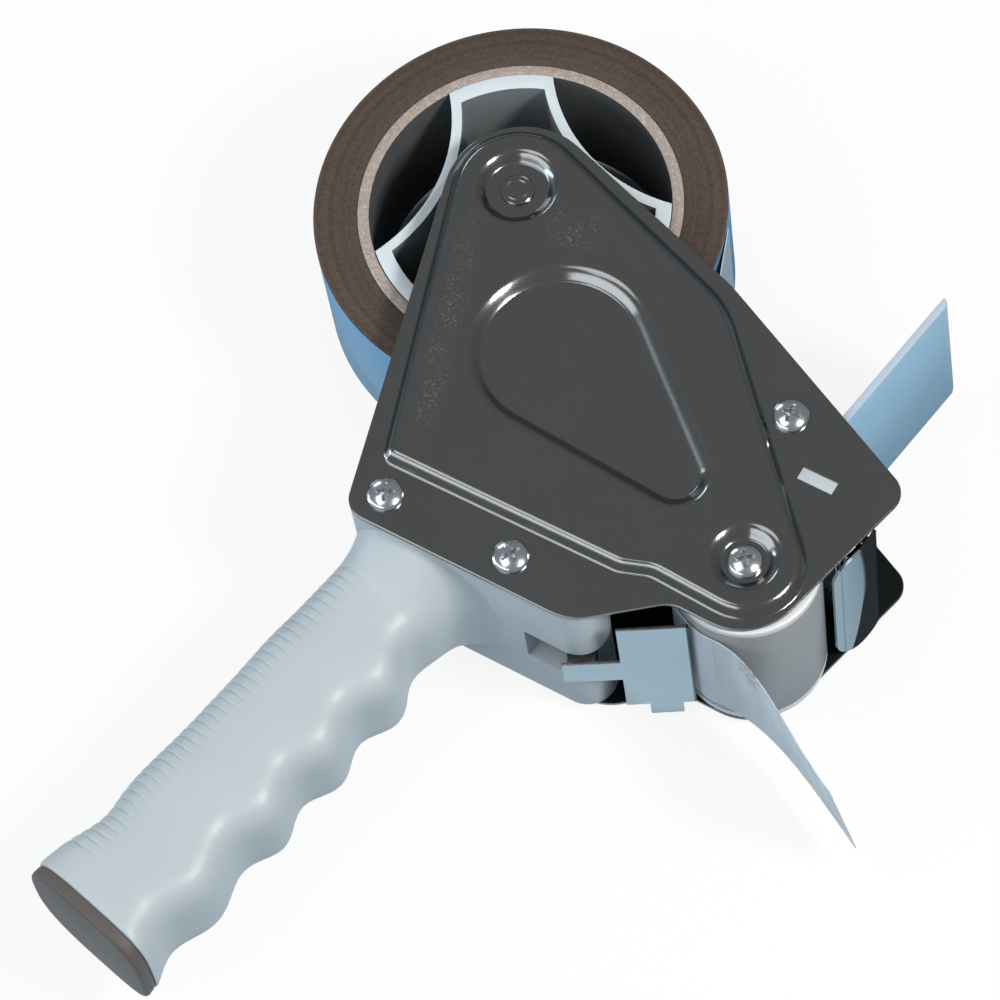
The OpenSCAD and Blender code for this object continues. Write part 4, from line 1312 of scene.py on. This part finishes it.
class DISPENSER_OT_retainer(Operator):
    """Sprung tape retainer on its pin"""

    bl_idname = "dispenser.retainer"
    bl_label = "Retainer"

    def execute(self, context):
        props = context.scene.dispenser_metal
        steel = plating_finish("pin_steel", props.steel, 0.28)
        dress("retainer_plate", "retainer_sheet", retainer_finish(props), 0.14, "retainer", "plated_steel")
        dress("retainer_pin", "retainer_pin_bar", steel, 0.2, "frame", "plated_steel")
        settle(self.spring(steel), "frame", "spring_steel", "retainer_spring")
        return {"FINISHED"}

    def spring(self, look):
        """Torsion spring round the pin, with a straight leg at each end."""
        nose = np.array([NOSE_X, (HEAD_LOW + HEAD_TOP) / 2])
        wire, turns, r, low_leg, high_leg = 0.9, 4, 2.55, 7.1, 5.4
        span = 6.5
        low = FORK_Z - span / 2
        at = np.linspace(0, turns * 2 * math.pi, 130)
        body = np.column_stack([arc(nose, r, at), low + span * at / at[-1]])
        first = [(nose[0] + r, nose[1] - low_leg + low_leg * t, low) for t in np.linspace(0, 0.9, 8)]
        last = [(nose[0] + r, nose[1] + high_leg * t, low + span) for t in np.linspace(0.1, 1, 8)]
        return spring_piece("retainer_spring_wire", np.concatenate([first, body, last]), wire, look)


class DISPENSER_OT_blade(Operator):
    """Serrated blade on its bar"""

    bl_idname = "dispenser.blade"
    bl_label = "Blade"

    def execute(self, context):
        steel = blade_finish(context.scene.dispenser_metal)
        paint = paint_finish(context.scene.dispenser_plates)
        dress("blade", "blade_ground", steel, 0.06, "frame", "plated_steel", 1, 50)
        dress("blade_bar", "blade_bar_pressed", paint, 0.2, "frame", "painted_steel")
        return {"FINISHED"}


class DISPENSER_OT_wiper(Operator):
    """Flexible wiper flap with a slanting end, in its bar"""

    bl_idname = "dispenser.wiper"
    bl_label = "Wiper"

    def execute(self, context):
        plastic = moulded_finish("bar_plastic", context.scene.dispenser_handle.plastic, 0.012, 0.4)
        dress("wiper_bar", "wiper_bar_moulded", plastic, 0.2, "frame", "grey_plastic")
        flap = dressed("wiper_flap", "wiper_flap_moulded", wiper_finish(context.scene.dispenser_plastic), 0.3)
        for vertex in flap.data.vertices:
            place = np.array(vertex.co) * 1000
            along = (place[:2] - HUB - WIPER_ROOT) @ WIPER_WAY
            push = wiper_slant(place[2]) * smooth_step(along, 25, 50)
            vertex.co.x += WIPER_WAY[0] * push / 1000
            vertex.co.y += WIPER_WAY[1] * push / 1000
        settle(flap, "wiper", "blue_plastic", "wiper_flap")
        return {"FINISHED"}


class DISPENSER_OT_stage(Operator):
    """Pale floor, soft lamps and the camera"""

    bl_idname = "dispenser.stage"
    bl_label = "Stage"

    def execute(self, context):
        props = context.scene.dispenser_stage
        scene = context.scene
        scene.view_settings.view_transform = "Standard"
        self.floor(props)
        self.sky(scene, props)
        self.lamp("main_lamp", (0.66, 0.06, 0.75), 1.2, (0.28, 0.28), props.main, (1.0, 0.975, 0.94))
        self.lamp("front_box", (-0.38, -0.765, 0.516), 1.0, (1.3, 0.3), props.front, (0.92, 0.96, 1.0), 19.5)
        self.lamp("top_box", (-0.3, -0.34, 0.89), 1.0, (0.6, 0.45), props.top, (0.97, 0.98, 1.0))
        self.lamp("back_strip", (-0.85, 0.45, 0.34), 1.0, (0.3, 0.12), props.back, (0.8, 0.9, 1.0))
        self.lamp("left_box", (-0.9, -0.4, 0.14), 1.0, (0.4, 0.16), props.left, (0.7, 0.88, 1.0))
        scene.camera = self.camera(props)
        return {"FINISHED"}

    def camera(self, props):
        """Camera fitted to the photo's view."""
        lens = bpy.data.cameras.new("camera")
        lens.lens, lens.sensor_width, lens.shift_y = props.lens, 36, -0.01
        lens.clip_start, lens.clip_end = 0.05, 20
        right = (0.86005, 0.50286, -0.08626)
        up = (-0.42068, 0.79459, 0.43778)
        back = (0.28868, -0.34023, 0.89493)
        turn = Matrix((right, up, back)).transposed()
        camera = linked("camera", lens)
        camera.matrix_world = Matrix.Translation((0.31664, -0.422754, 1.10686)) @ turn.to_4x4()
        return camera

    def floor(self, props):
        """Pale paper that reads as white, except a dark grey disc of painted shade under the roll, and blue
        in shiny parts.
        """
        reach, level = 4.0, -0.0003
        mesh = new_mesh("floor", [(x * reach, y * reach, level) for x, y in SQUARE], [(0, 1, 2, 3)])
        look = Look("floor")
        path = look.node("ShaderNodeLightPath")
        seen = look.most(path.out("Is Camera Ray"), path.out("Is Transmission Ray"))
        mirrored = path.out("Is Glossy Ray")
        x, y, _ = look.place()
        # Under the roll the paper is dark grey and does not glow: painted shade inside the roll.
        open_floor = look.smooth(look.length(x, y), 42, 50)
        tone = look.mix(open_floor, (0.11, 0.11, 0.11), look.mix(seen, props.bounce, props.floor))
        paper = look.node("ShaderNodeBsdfDiffuse", {}, {"Color": tone})
        glow = look.mix(mirrored, (1, 1, 1), props.mirrored)
        white = look.node("ShaderNodeEmission", {}, {"Color": glow, "Strength": 1.0})
        shine = look.most(look.smooth(y, 0, -90) * 0.9, look.smooth(x, 120, 260) * 0.3)
        share = look.most(seen * 0.88, mirrored * shine) * open_floor
        mesh.materials.append(look.blend(share, paper, white))
        floor = linked("floor", mesh)

    def sky(self, scene, props):
        """Light from all round, dimmer low at the back."""
        world = bpy.data.worlds.new("studio")
        world.use_nodes = True
        graph = Graph(world.node_tree)
        graph.tree.nodes.clear()
        way = graph.node("ShaderNodeTexCoord", out="Object")
        parts = graph.node("ShaderNodeSeparateXYZ", {}, {0: way})
        low = props.horizon * (0.8 + 0.2 * graph.smooth(parts.out(1), 0.5, -0.4))
        level = low + graph.smooth(parts.out(2), 0.0, 0.8) * (props.zenith - low)
        light = graph.node("ShaderNodeBackground", {}, {"Color": (0.97, 0.985, 1.0, 1.0), "Strength": level})
        graph.node("ShaderNodeOutputWorld", {}, {"Surface": light})
        scene.world = world

    def lamp(self, name, way, distance, size, power, colour, roll=0.0):
        """Soft box that shines on the object from a way, turned by a roll in degrees."""
        light = bpy.data.lights.new(name, "AREA")
        light.shape = "RECTANGLE"
        light.size, light.size_y = size
        light.energy = power
        light.color = colour
        way = Vector(way).normalized()
        turn = way.to_track_quat("Z", "Y") @ Quaternion((0, 0, 1), math.radians(roll))
        lamp = linked(name, light)
        lamp.location = Vector((0, 0.01, 0.03)) + way * distance
        lamp.rotation_euler = turn.to_euler()


OPERATORS = (
    DISPENSER_OT_plates,
    DISPENSER_OT_screws,
    DISPENSER_OT_handle,
    DISPENSER_OT_hub,
    DISPENSER_OT_tape,
    DISPENSER_OT_roller,
    DISPENSER_OT_retainer,
    DISPENSER_OT_blade,
    DISPENSER_OT_wiper,
    DISPENSER_OT_stage,
)


class DISPENSER_PT_panel(Panel):
    bl_idname = "DISPENSER_PT_panel"
    bl_label = "Tape dispenser"
    bl_space_type = "VIEW_3D"
    bl_region_type = "UI"
    bl_category = "Tape dispenser"

    def draw(self, context):
        for made in OPERATORS:
            self.layout.operator(made.bl_idname)
        for key, group in GROUPS.items():
            box = self.layout.box()
            for name in group.__annotations__:
                box.prop(getattr(context.scene, key), name)


def register():
    for made in (*GROUPS.values(), *OPERATORS, DISPENSER_PT_panel):
        bpy.utils.register_class(made)
    for key, group in GROUPS.items():
        setattr(bpy.types.Scene, key, PointerProperty(type=group))


def unregister():
    for key in GROUPS:
        delattr(bpy.types.Scene, key)
    for made in reversed((*GROUPS.values(), *OPERATORS, DISPENSER_PT_panel)):
        bpy.utils.unregister_class(made)


def main():
    register()
    bpy.ops.dispenser.plates()
    bpy.ops.dispenser.screws()
    bpy.ops.dispenser.handle()
    bpy.ops.dispenser.hub()
    bpy.ops.dispenser.tape()
    bpy.ops.dispenser.roller()
    bpy.ops.dispenser.retainer()
    bpy.ops.dispenser.blade()
    bpy.ops.dispenser.wiper()
    bpy.ops.dispenser.stage()
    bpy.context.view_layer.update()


if __name__ == "__main__":
    main()
